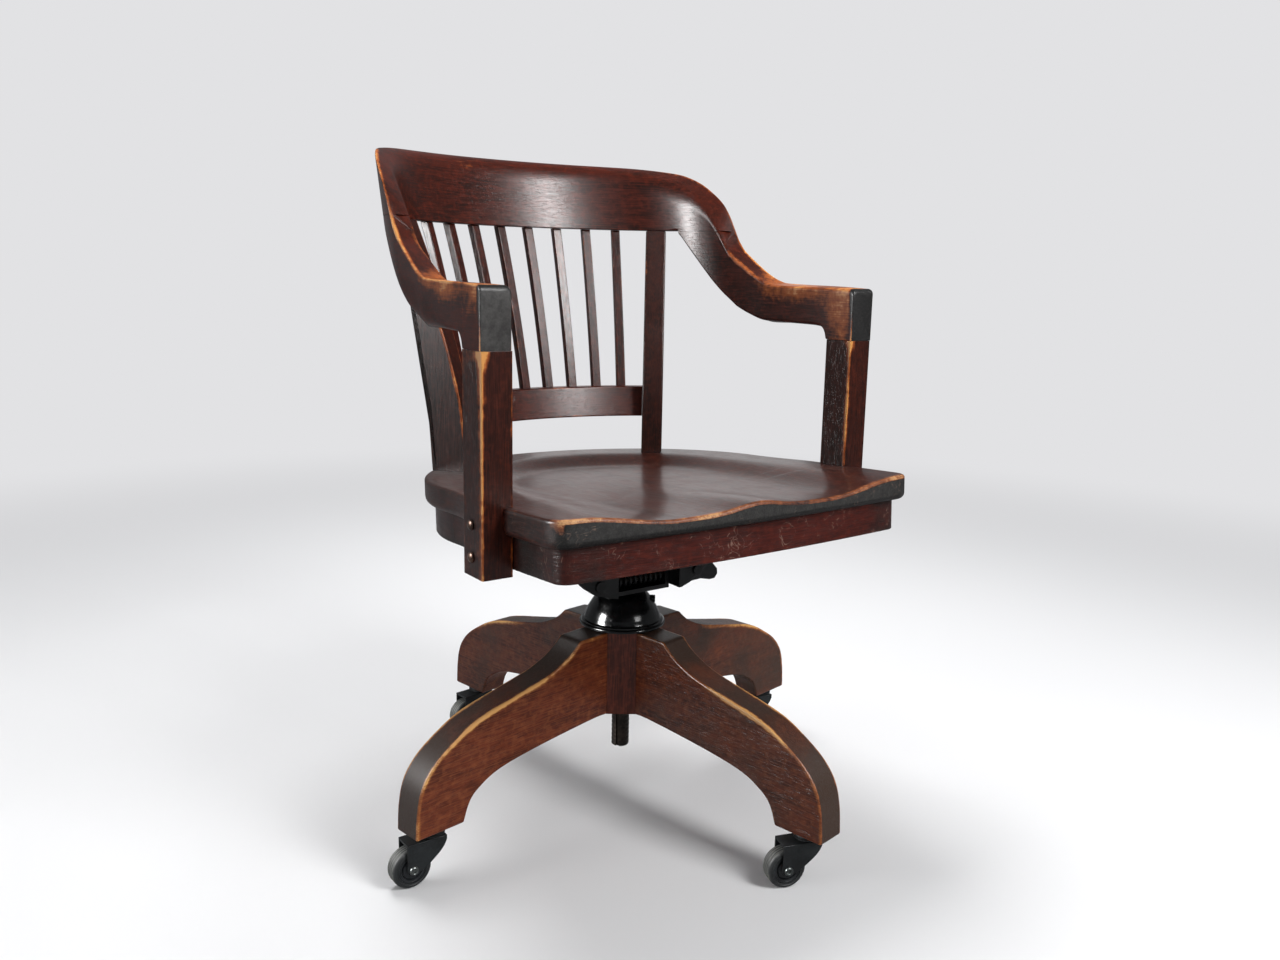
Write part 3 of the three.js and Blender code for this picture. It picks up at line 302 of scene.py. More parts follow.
base_turn = math.radians(10.54)
leg_names = ("front", "left", "back", "right")
leg_turns = [base_turn + math.radians(90) * (i - 1) for i in range(4)]
grain_step = 0.37
foot_height = 0.068
leg_reach = 0.3597
leg_top = 0.255
leg_half = 0.021
hub_half = 0.049
leg_rubs = {"front": 1.0, "left": 0.78, "back": 0.7, "right": 1.1}
# Each leg's least darkness is painted shade, set leg by leg: the legs back under the seat and the front one
# are darker than the right one.
leg_painted_shades = {"front": 0.42, "left": 0.56, "back": 0.44, "right": 0.15}
leg_edge = 0.0022
leg_fade = 0.012
leg_steps = 90
leg_straight_share = 0.985
# The upper edges are rubbed least at the hub and most round the knee.
hub_end_share = 0.2
knee_share = 0.53
knee_rub_share = 0.15
foot_edge = 0.003
leg_upper_shares = [
    [0.154, 0.995], [0.22, 0.904], [0.331, 0.82], [0.492, 0.757], [0.695, 0.679], [0.817, 0.58],
    [0.911, 0.471], [0.968, 0.345], [0.992, 0.19], [1, 0],
]
leg_lower_shares = [
    [0.778, 0], [0.748, 0.128], [0.7, 0.203], [0.597, 0.278], [0.395, 0.329], [0.092, 0.374],
    [0, 0.376],
]


def smooth(value):
    """Nought below 0, one above 1, and 3t2 - 2t3 between."""
    t = np.clip(value, 0, 1)
    return t * t * (3 - 2 * t)


def eased_section(width, height, edge, fade):
    """A rectangle with quarter-circle corners: a quarter turned and moved to each corner. Just
    past each quarter stands a point that keeps the flat flat, and one where its wear has faded.
    Gives the points and how near each is to a corner."""
    fade = min(fade, 0.9 * (min(width, height) / 2 - edge))
    turn = np.linspace(0, math.pi / 2, 5)
    quarter = np.column_stack([np.cos(turn), np.sin(turn)]) * edge
    lead = [quarter[0] - [0, fade], quarter[0] - [0, fade / 8]]
    tail = [quarter[-1] - [fade / 8, 0], quarter[-1] - [fade, 0]]
    quarter = np.vstack([lead, quarter, tail])
    near = np.array([0, 0.85, *np.full(5, 1.0), 0.85, 0])
    reach = np.array([width / 2 - edge, height / 2 - edge])
    spins = [np.array([[c, s], [-s, c]]) for c, s in ((1, 0), (0, 1), (-1, 0), (0, -1))]
    corners = reach * [[1, 1], [-1, 1], [-1, -1], [1, -1]]
    return np.vstack([quarter @ spin + corner for spin, corner in zip(spins, corners)]), np.tile(near, 4)


def spread(line, places):
    """The points of a line at these shares of its length."""
    length = np.concatenate([[0], np.cumsum(np.linalg.norm(np.diff(line, axis=0), axis=1))])
    length = length / length[-1]
    return np.column_stack([np.interp(places, length, line[:, 0]), np.interp(places, length, line[:, 1])])


def leg_rings():
    """Sections from the hub to the foot. Each is a rectangle with round corners that stands
    between the places at one share of the upper and of the lower line's length. At the foot it
    shrinks along a quarter circle. Gives the grid, the shares, the section and its nearness."""
    turn = np.linspace(0, math.pi / 2, 5)
    foot_share = 1 - foot_edge / leg_reach * (1 - np.cos(turn[::-1]))
    share = np.concatenate([np.linspace(0, leg_straight_share, leg_steps), foot_share])
    shrink = np.concatenate([np.zeros(leg_steps), foot_edge * (1 - np.sin(turn[::-1]))])[:, None]
    start = np.array([hub_half + clearance, foot_height])
    size = np.array([leg_reach, leg_top]) - start
    upper = start + np.vstack([[0, 1], smooth_line(leg_upper_shares, 8)]) * size
    lower = start + smooth_line(leg_lower_shares, 6)[::-1] * size
    upper, lower = spread(upper, share), spread(lower, share)
    tall = np.linalg.norm(upper - lower, axis=1, keepdims=True)
    up = (upper - lower) / tall
    section, near = eased_section(2 * leg_half, leg_half, leg_edge, leg_fade)
    side = np.sign(section[:, 1])
    rise = section[:, 1] + side * (tall - leg_half) / 2 - side * shrink
    across = section[:, 0] * (1 - shrink / leg_half)
    middle = (upper + lower) / 2
    grid = points_at(middle[:, :1] + up[:, :1] * rise, across, middle[:, 1:] + up[:, 1:] * rise)
    return grid, share[:, None], section, near


leg_grid, leg_share, leg_section, leg_near = leg_rings()
leg_top_side = leg_section[:, 1] > 0
leg_table = leg_top_side & (np.abs(leg_section[:, 0]) < leg_half - leg_edge)
leg_rub = 0.42 + 0.1 * smooth((leg_share - hub_end_share) / hub_end_share)
leg_rub = leg_rub + 0.42 * np.exp(-(((leg_share - knee_share) / knee_rub_share) ** 2))
leg_worn = leg_near * np.where(leg_top_side, leg_rub, 0.2) - 0.12 * leg_table
leg_dark = 0.92 - 0.32 * smooth(leg_share / 0.35) + 0.3 * smooth((leg_share - 0.6) / 0.3)
leg_dark = leg_table * leg_dark
for number, (leg, turn) in enumerate(zip(leg_names, leg_turns)):
    leg_grain = leg_grid[..., [1, 2, 0]] + number * grain_step
    placed = turned_about(leg_grid, turn, (axis_x, 0))
    worn = leg_worn * leg_rubs[leg]
    # The darker of the upper face's dark varnish and the leg's painted shade.
    dark = np.maximum(leg_dark, leg_painted_shades[leg])
    leg_shell = shell(placed, grain=leg_grain, worn=worn, dark=dark)
    piece("leg_" + leg, [leg_shell], leg_wood)

# Hub: an eight-sided mahogany block that the legs butt against, bored for the nut's sleeve, with
# an iron plate under it whose key keeps the spindle from turning. Its edges are only just eased.
hub_wood = varnished(
    "hub_mahogany",
    deep=(52, 22, 15), body=(82, 36, 25), warm=(104, 48, 32),
    thin=(112, 62, 40), bare=(150, 100, 66), grime_and_shade=(34, 26, 22),
)


def eased(node, material, width):
    """A copy of a CAD node, merged and with its sharp edges rounded over this width."""
    mesh = frame["nodes"][node].data.copy()
    weld_distance = 0.00001
    flat = math.radians(1)
    crease = math.radians(40)
    work = bmesh.new()
    work.from_mesh(mesh)
    bmesh.ops.remove_doubles(work, verts=work.verts, dist=weld_distance)
    bmesh.ops.dissolve_limit(
        work, angle_limit=flat, verts=work.verts, edges=work.edges, delimit={"NORMAL"}
    )
    work.to_mesh(mesh)
    work.free()
    place = np.zeros(len(mesh.vertices) * 3, np.float32)
    mesh.vertices.foreach_get("co", place)
    mesh.attributes.new("grain", "FLOAT_VECTOR", "POINT").data.foreach_set("vector", place)
    mesh.materials.clear()
    bevel = dressed(node, mesh, material, crease).modifiers.new("eased edges", "BEVEL")
    bevel.width = width
    bevel.segments = 2
    bevel.limit_method = "ANGLE"
    bevel.angle_limit = crease
    bevel.harden_normals = True


hub_edge = 0.0015
eased("hub_block", hub_wood, hub_edge)


# Casters: a stamped black fork turns in a two-ring race under each foot. Its wheel has a black
# plastic centre and a grey rubber tyre with a rounded, grooved tread, on a riveted steel axle.
def painted(name, colour, faded, roughness, metallic, pits, depth):
    """Paint, plastic or oxide on a hard surface, its two colours in picture values: a cloudy change
    from one to the other, and pits, so many to a metre, that also show as bump of this depth."""
    finish = Finish(name, {"Metallic": metallic, "IOR": 1.4})
    cloud = finish.noise(finish.place(), 38.0, 4.0)
    pit = finish.noise(finish.place(), pits, 3.0)
    tone = (cloud * 0.7 + pit * 0.3).between(0.36, 0.66)
    shade = finish.mixed(tone, shades(*colour), shades(*faded))
    return finish.finished(shade, roughness + (pit - 0.5) * 0.16, pit, depth, 0.45)


fork_black = painted("fork_black", (18, 20, 22), (36, 40, 42), 0.5, 0.2, 420.0, 0.0001)
wheel_black = painted("wheel_black", (22, 24, 26), (42, 45, 48), 0.42, 0.0, 300.0, 0.0001)
axle_steel = painted("axle_steel", (60, 64, 65), (112, 116, 114), 0.34, 0.85, 500.0, 0.00005)


def dusty_rubber():
    """Tyre rubber, black at the sides. The worn attribute shows grey floor dust on the tread."""
    finish = Finish("tyre_rubber", {"IOR": 1.45})
    cloud = finish.noise(finish.place(), 60.0, 4.0)
    speck = finish.noise(finish.place(), 700.0, 2.0)
    dust = (finish.attribute("worn") + (cloud - 0.5) * 0.8 + (speck - 0.5) * 0.3).between(0.3, 0.95)
    colour = finish.mixed(dust, shades(34, 37, 38), shades(112, 114, 106))
    return finish.finished(colour, 0.55 + dust * 0.3, speck, 0.0001, 0.4)


tyre_rubber = dusty_rubber()

wheel_radius = 0.025
wheel_half = 0.01
tread_thickness = 0.007
tread_round = 0.0042
tread_groove = 0.0005
tread_grooves = 3
tread_flat_share = 0.97
tyre_ring_start = 0.0016
tyre_ring_half = 0.0005
tyre_ring_height = 0.0006
boss_margin = 0.001
web_inset = 0.0008
web_groove = 0.0026
web_line = 0.0005
rim_edge = 0.0004
# How far out the web's groove and fine line start and end, in shares of the rim's radius.
web_groove_shares = (0.64, 0.68, 0.75, 0.79)
web_line_shares = (0.88, 0.9, 0.92)
caster_trail = 0.029
race_radius = 0.017
race_height = 0.009
race_shares = [
    [0.0, 0.0], [0.62, 0.0], [0.76, 0.1], [1.0, 0.3], [1.0, 0.44], [0.9, 0.5], [0.9, 0.56],
    [1.0, 0.62], [1.0, 0.8], [0.93, 0.94], [0.8, 1.0], [0.0, 1.0],
]
fork_plate = 0.0026
fork_gap = 0.0012
fork_heel = 0.015
fork_eye = 0.0075
cheek_shares = [[-0.41, 0.65], [-0.2, 0.43], [0.14, 0.18], [0.48, -0.03]]
cheek_edge = 0.0007
cheek_fade = 0.0009
crown_edge = 0.0011
crown_fade = 0.0001
axle_radius = 0.003
rivet_radius = 0.0058
rivet_height = 0.0026
rivet_ring_share = 0.32
rivet_dimple_share = 0.2
stem_radius = 0.0045
stem_length = 0.036
stem_from_toe = 0.0345
stem_place = leg_reach - stem_from_toe
caster_turns = [math.radians(degrees) for degrees in (162, 172, 188, 180)]
tyre_steps = 96
fork_top = foot_height - clearance - race_height
cheek_inner = wheel_half + fork_gap
cheek_outer = cheek_inner + fork_plate
# Where a turned piece closes on its axis, it keeps a ring of this radius.
pole_radius = 0.00002


def turned(profile, steps=64):
    """A turned piece: each [radius, height] point of the profile carried round the vertical."""
    radius, height = np.asarray(profile, float).T
    turn = np.linspace(0, 2 * math.pi, steps, endpoint=False)
    radius = np.maximum(radius, pole_radius)[:, None]
    return points_at(radius * np.cos(turn), radius * np.sin(turn), height[:, None])


def across(grid, x=0.0, z=0.0):
    """A turned piece laid on its side, its axis along Y through this place."""
    return points_at(grid[..., 0] + x, grid[..., 2], grid[..., 1] + z)


def corner_arc(centre, radius, start, end, steps=6):
    """Points of an arc, from one angle to another in degrees."""
    turn = np.radians(np.linspace(start, end, steps))
    return np.column_stack([centre[0] + radius * np.cos(turn), centre[1] + radius * np.sin(turn)])


def tyre_profile():
    """Half a tyre's section, mirrored: a flat side with a raised ring, a round shoulder, and a
    tread whose three grooves are dips of a cosine. Gives the points and their dust."""
    inner = wheel_radius - tread_thickness + clearance
    ring = inner + tyre_ring_start
    side = [
        [inner, -wheel_half], [ring, -wheel_half],
        [ring + tyre_ring_half, -wheel_half + tyre_ring_height], [ring + 2 * tyre_ring_half, -wheel_half],
    ]
    shoulder = np.array([wheel_radius, -wheel_half]) + [-tread_round, tread_round]
    round_part = corner_arc(shoulder, tread_round, 270, 355, 8)
    half_tread = wheel_half - tread_round
    place = np.linspace(-half_tread * tread_flat_share, 0, 16)
    sunk = (0.5 + 0.5 * np.cos(place / half_tread * tread_grooves * math.pi)) ** 2
    tread = np.column_stack([wheel_radius - tread_groove * sunk, place])
    half = np.vstack([side, round_part, tread])
    dust = np.concatenate([np.zeros(len(side)), np.linspace(0, 0.7, len(round_part)), 0.9 - 0.8 * sunk])
    return np.vstack([half, (half * [1, -1])[-2::-1]]), np.concatenate([dust, dust[-2::-1]])


def wheel_profile():
    """The black centre: a hub boss, a flat web with a deep ring groove and a fine one, and a rim."""
    boss = rivet_radius + boss_margin
    rim = wheel_radius - tread_thickness
    face = web_inset - wheel_half
    groove = np.column_stack([np.multiply(web_groove_shares, rim), [face, *[face + web_groove] * 2, face]])
    line = np.column_stack([np.multiply(web_line_shares, rim), [face, face + web_line, face]])
    half = np.vstack([
        [[axle_radius + clearance, -wheel_half], [boss, -wheel_half], [boss + web_inset, face]],
        groove, line, [[rim - rim_edge, face], [rim, face + rim_edge]],
    ])
    return np.vstack([half, (half * [1, -1])[::-1]])


def rivet_profile():
    """A shank with a rolled ring at each end: half an ellipse about the ring's middle radius,
    round a shallow dimple."""
    seat = cheek_outer + clearance
    ring = rivet_radius * rivet_ring_share
    roll = corner_arc((0, 0), 1, 0, 170, 10) * [ring, rivet_height] + [rivet_radius - ring, seat]
    head = np.vstack([roll, [0, seat + rivet_height * rivet_dimple_share]])
    return np.vstack([(head * [1, -1])[::-1], [[axle_radius, -seat], [axle_radius, seat]], head])


def cheek_outline():
    """A fork's cheek from the side: down its heel, in a sweep under the crown to the axle, round
    the axle, and straight up again."""
    axle = np.array([caster_trail, wheel_radius])
    sweep = axle * [0, 1] + np.array(cheek_shares) * [caster_trail, fork_top - wheel_radius]
    eye = corner_arc(axle, fork_eye, 232, 360, 16)
    sweep = smooth_line(np.vstack([[-fork_heel, fork_top - 2 * fork_plate], sweep, eye[:1]]), 5)
    return np.vstack([[-fork_heel, fork_top], sweep, eye[1:], [caster_trail + fork_eye, fork_top]])


def drawn_in(outline, inset):
    """A closed outline moved inwards: each point goes along the mean of its two sides' normals,
    far enough that both sides move by the inset. At a very sharp corner it goes less far."""
    sides = np.roll(outline, -1, 0) - outline
    sides = sides / np.linalg.norm(sides, axis=1, keepdims=True)
    inward = np.stack([-sides[:, 1], sides[:, 0]], 1)
    before = np.roll(inward, 1, 0)
    lean = np.sum(inward * before, 1, keepdims=True)
    area = np.sum(outline[:, 0] * np.roll(outline[:, 1], -1) - outline[:, 1] * np.roll(outline[:, 0], -1))
    sharpest_share = 0.6
    return outline + np.sign(area) * inset * (inward + before) / np.maximum(1 + lean, sharpest_share)


def plank(outline, half, edge, fade):
    """A sawn board: the closed outline carried across the thickness. Near both faces it is drawn
    in along a quarter circle of radius edge, and each face is the outline drawn in by the fade,
    over which the edge's wear dies away. Gives the grid (X, across, Z) and how near each ring is
    to the rounded edge."""
    turns = np.linspace(0, math.pi / 2, 6)
    inset = [edge + fade, edge + fade / 6, *(edge * (1 - np.sin(turns))), 0, 0]
    offsets = [half, half, *(half - edge + edge * np.cos(turns)), half - edge - fade / 6]
    offsets = [*offsets, half - edge - fade]
    near = np.array([0, 0.75, *np.full(6, 1.0), 0.75, 0])
    inset = np.array([*inset, *inset[::-1]])
    offsets = np.array([*offsets, *(-np.array(offsets[::-1]))])
    rings = [drawn_in(outline, value) for value in inset]
    grid = np.stack([points_at(ring[:, 0], y, ring[:, 1]) for ring, y in zip(rings, offsets)])
    return grid, np.array([*near, *near[::-1]])


def fork_shells():
    """Two cheeks, the crown across their tops, the race of two rings under the foot, and the stem."""
    cheek, _ = plank(cheek_outline(), fork_plate / 2, cheek_edge, cheek_fade)
    crown_side = [[-fork_heel, fork_top - fork_plate], [caster_trail + fork_eye, fork_top - fork_plate],
                  [caster_trail + fork_eye, fork_top], [-fork_heel, fork_top]]
    crown, _ = plank(np.array(crown_side), cheek_outer, crown_edge, crown_fade)
    race = turned(np.array(race_shares) * [race_radius, race_height] + [0, fork_top])
    stem = turned([[0, fork_top], [stem_radius, fork_top], [stem_radius, foot_height + stem_length],
                   [0, foot_height + stem_length]], 24)
    middle = cheek_inner + fork_plate / 2
    return [cheek + [0, middle, 0], cheek - [0, middle, 0], crown, race, stem]


for leg, turn, caster_turn in zip(leg_names, leg_turns, caster_turns):
    centre = (axis_x + stem_place * math.cos(turn), stem_place * math.sin(turn))

    def hung(grid):
        return turned_about(grid, caster_turn, centre)

    wheel_at = {"x": caster_trail, "z": wheel_radius}
    forks = [shell(hung(grid)) for grid in fork_shells()]
    piece("caster_fork_" + leg, forks, fork_black)
    tyre_points, dust = tyre_profile()
    tyre_grid = hung(across(turned(tyre_points, tyre_steps), **wheel_at))
    tyre = shell(tyre_grid, closed=True, worn=np.repeat(dust[:, None], tyre_steps, 1))
    piece("caster_tyre_" + leg, [tyre], tyre_rubber)
    core = shell(hung(across(turned(wheel_profile(), 72), **wheel_at)), closed=True)
    piece("caster_wheel_" + leg, [core], wheel_black)
    rivet = shell(hung(across(turned(rivet_profile(), 32), **wheel_at)))
    piece("caster_axle_" + leg, [rivet], axle_steel)


# Nut: a domed casting on a flange with two turned rings, painted satin black. Its threaded sleeve
# goes down through the hub, and a square-headed screw through its side locks the spindle.
dome_black = painted("dome_black", (11, 13, 14), (22, 24, 25), 0.15, 0.1, 160.0, 0.00012)
nut_low, nut_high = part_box("hub_nut")
block_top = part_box("hub_block")[1].z
spindle_radius = 0.0124
sleeve_radius = 0.018
flange_radius = 0.0597
flange_bottom = block_top + clearance
dome_top = nut_high.z
dome_shares = [
    [1, 0.0], [1.0, 0.045], [0.992, 0.07], [0.975, 0.085], [0.955, 0.085], [0.945, 0.1],
    [0.945, 0.125], [0.93, 0.15], [0.905, 0.16], [0.89, 0.19], [0.87, 0.29], [0.805, 0.47],
    [0.737, 0.62], [0.64, 0.82], [0.54, 0.945], [0.4, 1],
]
dome_line = np.vstack([dome_shares[:10], smooth_line(dome_shares[10:], 5)])
dome_line = dome_line * [flange_radius, dome_top - flange_bottom] + [0, flange_bottom]
nut_bore = spindle_radius + clearance
nut_profile = np.vstack([
    [[nut_bore, nut_low.z], [sleeve_radius, nut_low.z], [sleeve_radius, flange_bottom]],
    dome_line,
    [[nut_bore, dome_top]],
])
nut_shell = shell(turned(nut_profile, 96) + [axis_x, 0, 0], closed=True)
piece("hub_nut", [nut_shell], dome_black)
set_screw_edge = 0.0006
hub_plate_edge = 0.0005
eased("dome_set_screw", dome_black, set_screw_edge)
eased("hub_plate", dome_black, hub_plate_edge)

# Spindle: a dark oiled steel screw with a square thread, a thrust collar under the yoke, and a
# keyway milled up one side, which shows on the stub below the hub.
spindle_steel = painted("spindle_steel", (34, 30, 28), (62, 54, 48), 0.42, 0.7, 300.0, 0.0001)
plate_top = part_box("hub_plate")[1].z
collar_radius = 0.02
collar_height = 0.005
key_turn = math.radians(215)
key_half = 0.0023
key_depth = 0.003
key_rise = 0.004
thread_pitch = 0.00635
thread_depth = 0.0004
stub_edge = 0.001
spindle_turn_steps = 72
spindle_height_steps = 360
collar_low = dome_top + clearance


def spindle_grid():
    """A turned profile whose plain shank has a thread: the radius falls by a share of the thread's
    depth that turns with the angle as the height goes by a pitch. Within the keyway's width, the
    radius is limited to the flat floor of the slot."""
    edge = math.asin(key_half / spindle_radius)
    wall = 0.0005
    turn = np.sort(np.concatenate([
        np.linspace(edge + 2 * wall, 2 * math.pi - edge - 2 * wall, spindle_turn_steps),
        np.array([-edge, -edge + wall, edge - wall, edge]),
    ])) + key_turn
    heights = np.linspace(spindle_low.z + stub_edge, collar_low, spindle_height_steps)
    shank = np.column_stack([np.full(len(heights), spindle_radius), heights])
    profile = np.vstack([
        [[pole_radius, spindle_low.z], [spindle_radius - stub_edge, spindle_low.z]], shank,
        [[collar_radius, collar_low], [collar_radius, collar_low + collar_height],
         [spindle_radius, collar_low + collar_height], [spindle_radius, spindle_high.z],
         [pole_radius, spindle_high.z]],
    ])
    radius = np.repeat(profile[:, :1], len(turn), 1)
    height = np.repeat(profile[:, 1:], len(turn), 1)
    groove = 0.5 + 0.5 * np.cos(2 * math.pi * height / thread_pitch - turn)
    on_shank = (height > spindle_low.z + stub_edge / 2) & (height < collar_low - stub_edge / 2)
    radius = radius - thread_depth * np.clip(groove * 2 - 1, 0, 1) * on_shank
    aside = np.abs(np.angle(np.exp(1j * (turn - key_turn))))
    in_key = (aside < edge - wall / 2) & (height < plate_top + key_rise)
    radius = np.where(in_key, np.minimum(radius, (spindle_radius - key_depth) / np.cos(aside)), radius)
    return points_at(axis_x + radius * np.cos(turn), radius * np.sin(turn), height)


piece("spindle", [shell(spindle_grid())], spindle_steel)

# Tilt iron: a cast tray that swivels on the spindle, with the tilt pin and its coil spring lying in
# its open front, and a cast seat iron at each end of the pin, screwed up under the seat. The
# castings keep a sand-rough skin under black paint that has gone satin.
cast_black = painted("cast_black", (9, 10, 11), (22, 24, 25), 0.42, 0.2, 220.0, 0.0003)
pin_low, pin_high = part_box("tilt_pin")
tray_low, tray_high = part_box("tilt_yoke")
pivot_y = (pin_low.y + pin_high.y) / 2
pivot_z = (pin_low.z + pin_high.z) / 2
spring_wire = 0.002
spring_radius = 0.0082
spring_curls = 10
spring_steps = 28
tray_wall = 0.006
cast_edge = 0.0011
pin_edge = 0.001
iron_screw_edge = 0.0005
for node in ("tilt_yoke", "seat_iron_left", "seat_iron_right"):
    eased(node, cast_black, cast_edge)


def spring_grid():
    """A wire of round section carried along a helix about the pin."""
    reach = (tray_high.x - tray_low.x) / 2 - tray_wall - clearance - spring_wire
    share = np.linspace(0, 1, spring_curls * spring_steps + 1)[:, None]
    angle = 2 * math.pi * spring_curls * share
    side = np.linspace(0, 2 * math.pi, 12, endpoint=False)[None, :]
    radius = spring_radius + spring_wire * np.cos(side)
    x = axis_x + reach * (2 * share - 1) + spring_wire * np.sin(side)
    return points_at(x, pivot_y + radius * np.cos(angle), pivot_z + radius * np.sin(angle))


piece("tilt_spring", [shell(spring_grid())], cast_black)
pin_radius = (pin_high.z - pin_low.z) / 2
pin_end = [[pin_radius, pin_high.x - pin_edge], [pin_radius - pin_edge, pin_high.x], [0, pin_high.x]]
pin_profile = [
    [0, pin_low.x], [pin_radius - pin_edge, pin_low.x], [pin_radius, pin_low.x + pin_edge], *pin_end,
]
pin_grid = turned(pin_profile, 32)[..., [2, 0, 1]] + [0, pivot_y, pivot_z]
piece("tilt_pin", [shell(pin_grid)], spindle_steel)
for end in ("front_left", "front_right", "back_left", "back_right"):
    eased("iron_screw_" + end, spindle_steel, iron_screw_edge)

# Seat: one thick slab of glued mahogany boards, grain front to back, saddled on top into two
# hollows with a ridge between them at the front. The varnish is dull on top, rubbed to a pale
# line along the front edge, and the front end grain has gone black.
seat_wood = varnished(
    "seat_mahogany",
    deep=(32, 14, 10), body=(54, 22, 15), warm=(80, 36, 24),
    thin=(132, 74, 42), bare=(196, 146, 96), grime_and_shade=(15, 14, 13), scuffs=0.5, drag=0.3,
)
seat_grain_start = 0.71
seat_tilt = math.radians(3.3)
seat_height = 0.4688
seat_thickness = 0.032
seat_edge = 0.004
seat_half_width = 0.271
seat_front = 0.268
seat_rear_radius = 0.258
seat_centre_back = 0.024
seat_front_bow = 0.01
seat_corner = 0.028
side_share = 0.4
dish_depth = 0.0135
dish_side_rim = 0.029
dish_rear_rim = 0.058
dish_front_fall = 0.125
dish_rear_fall = 0.066
ridge_height = 0.008
ridge_half_width = 0.042
ridge_length = 0.21
# How far the rub reaches from the front corners, over the top and along the side walls, and how
# deep from the outline the black front face and the side walls count.
corner_rub = 0.05
corner_side_rub = 0.022
front_face_depth = 0.03
side_wall_depth = 0.014
post_width = 0.0386
post_depth = 0.0459
post_proud = 0.026
post_set_back = 0.1343
post_outer = seat_half_width + post_proud
post_inner = post_outer - post_width
post_forward = seat_front - post_set_back


def seat_line(inset, corner):
    """The seat's outline drawn in by an inset, from the middle of the front round by the left
    side: a bowed front, a corner, a straight side, a cubic to the rear's width, and an arc. Each
    stretch has its own count of points, so that outlines of different insets match. Gives the
    points, and which of them lie in the notch of an arm post."""
    rear = seat_rear_radius - inset
    half = seat_half_width - inset
    front = inset - seat_front
    bend = -seat_front * side_share
    t = np.linspace(0.5, 1, 26)[:, None]
    bow = (1 - t) ** 2 * [corner - half, front] + 2 * t * (1 - t) * [0, front - 2 * seat_front_bow]
    bow = bow + t**2 * [half - corner, front]
    t = np.linspace(0, 1, 12)[1:, None]
    turn = (1 - t) ** 2 * [half - corner, front] + 2 * t * (1 - t) * [half, front]
    turn = turn + t**2 * [half, front + corner]
    notch = np.array([-post_depth / 2, post_depth / 2]) + [-clearance, clearance] - post_forward
    before, within = 14, 12
    side_y = np.concatenate([
        np.linspace(front + corner, notch[0], before)[1:], np.linspace(*notch, within),
        np.linspace(notch[1], bend, 3),
    ])
    side = np.column_stack([np.full(len(side_y), half), side_y])
    t = np.linspace(0, 1, 22)[1:, None]
    draw = (1 - t) ** 3 * [half, bend] + 3 * t * (1 - t) ** 2 * [half, bend / 2]
    draw = draw + 3 * t**2 * (1 - t) * [rear, bend / 3] + t**3 * [rear, seat_centre_back]
    angle = np.linspace(0, math.pi / 2, 60)[1:]
    arc = np.column_stack([rear * np.cos(angle), seat_centre_back + rear * np.sin(angle)])
    left = np.vstack([bow, turn, side, draw, arc])
    start = len(bow) + len(turn) + before - 1
    cut = np.zeros(len(left), bool)
    cut[start: start + within] = True
    right = (left * [-1, 1])[-2:0:-1]
    return np.vstack([left, right]), np.concatenate([cut, cut[-2:0:-1]])


def notched(ring, cut):
    """The outline with its notches: there it goes no further out than the post's inner side."""
    limit = post_inner - clearance
    x = np.where(cut, np.clip(ring[:, 0], -limit, limit), ring[:, 0])
    return np.column_stack([x, ring[:, 1]])


def dish(x, y):
    """How far the saddled top lies under the rim: a smooth fall from a border that narrows to the
    back, less a ridge of bell section that dies away from the front."""
    back = np.clip((y + seat_front) / (seat_front + seat_centre_back), 0, 1)
    side_border = seat_half_width - dish_side_rim
    rear_border = seat_rear_radius - dish_rear_rim
    border = side_border + (rear_border - side_border) * back
    fall = dish_front_fall + (dish_rear_fall - dish_front_fall) * back
    reach = np.hypot(x, np.maximum(0, y - seat_centre_back))
    hollow = dish_depth * smooth((border - reach) / fall)
    ridge_share = smooth((ridge_length - seat_front - y) / ridge_length)
    ridge = ridge_height * np.exp(-((x / ridge_half_width) ** 2)) * ridge_share
    return np.maximum(0, hollow - ridge)


def on_seat(grid):
    """What is drawn level with the rim at nought, laid on the sloping seat."""
    cosine, sine = math.cos(seat_tilt), math.sin(seat_tilt)
    x, y, z = grid[..., 0], grid[..., 1], grid[..., 2]
    return points_at(x + axis_x, y * cosine + z * sine, z * cosine - y * sine + seat_height)


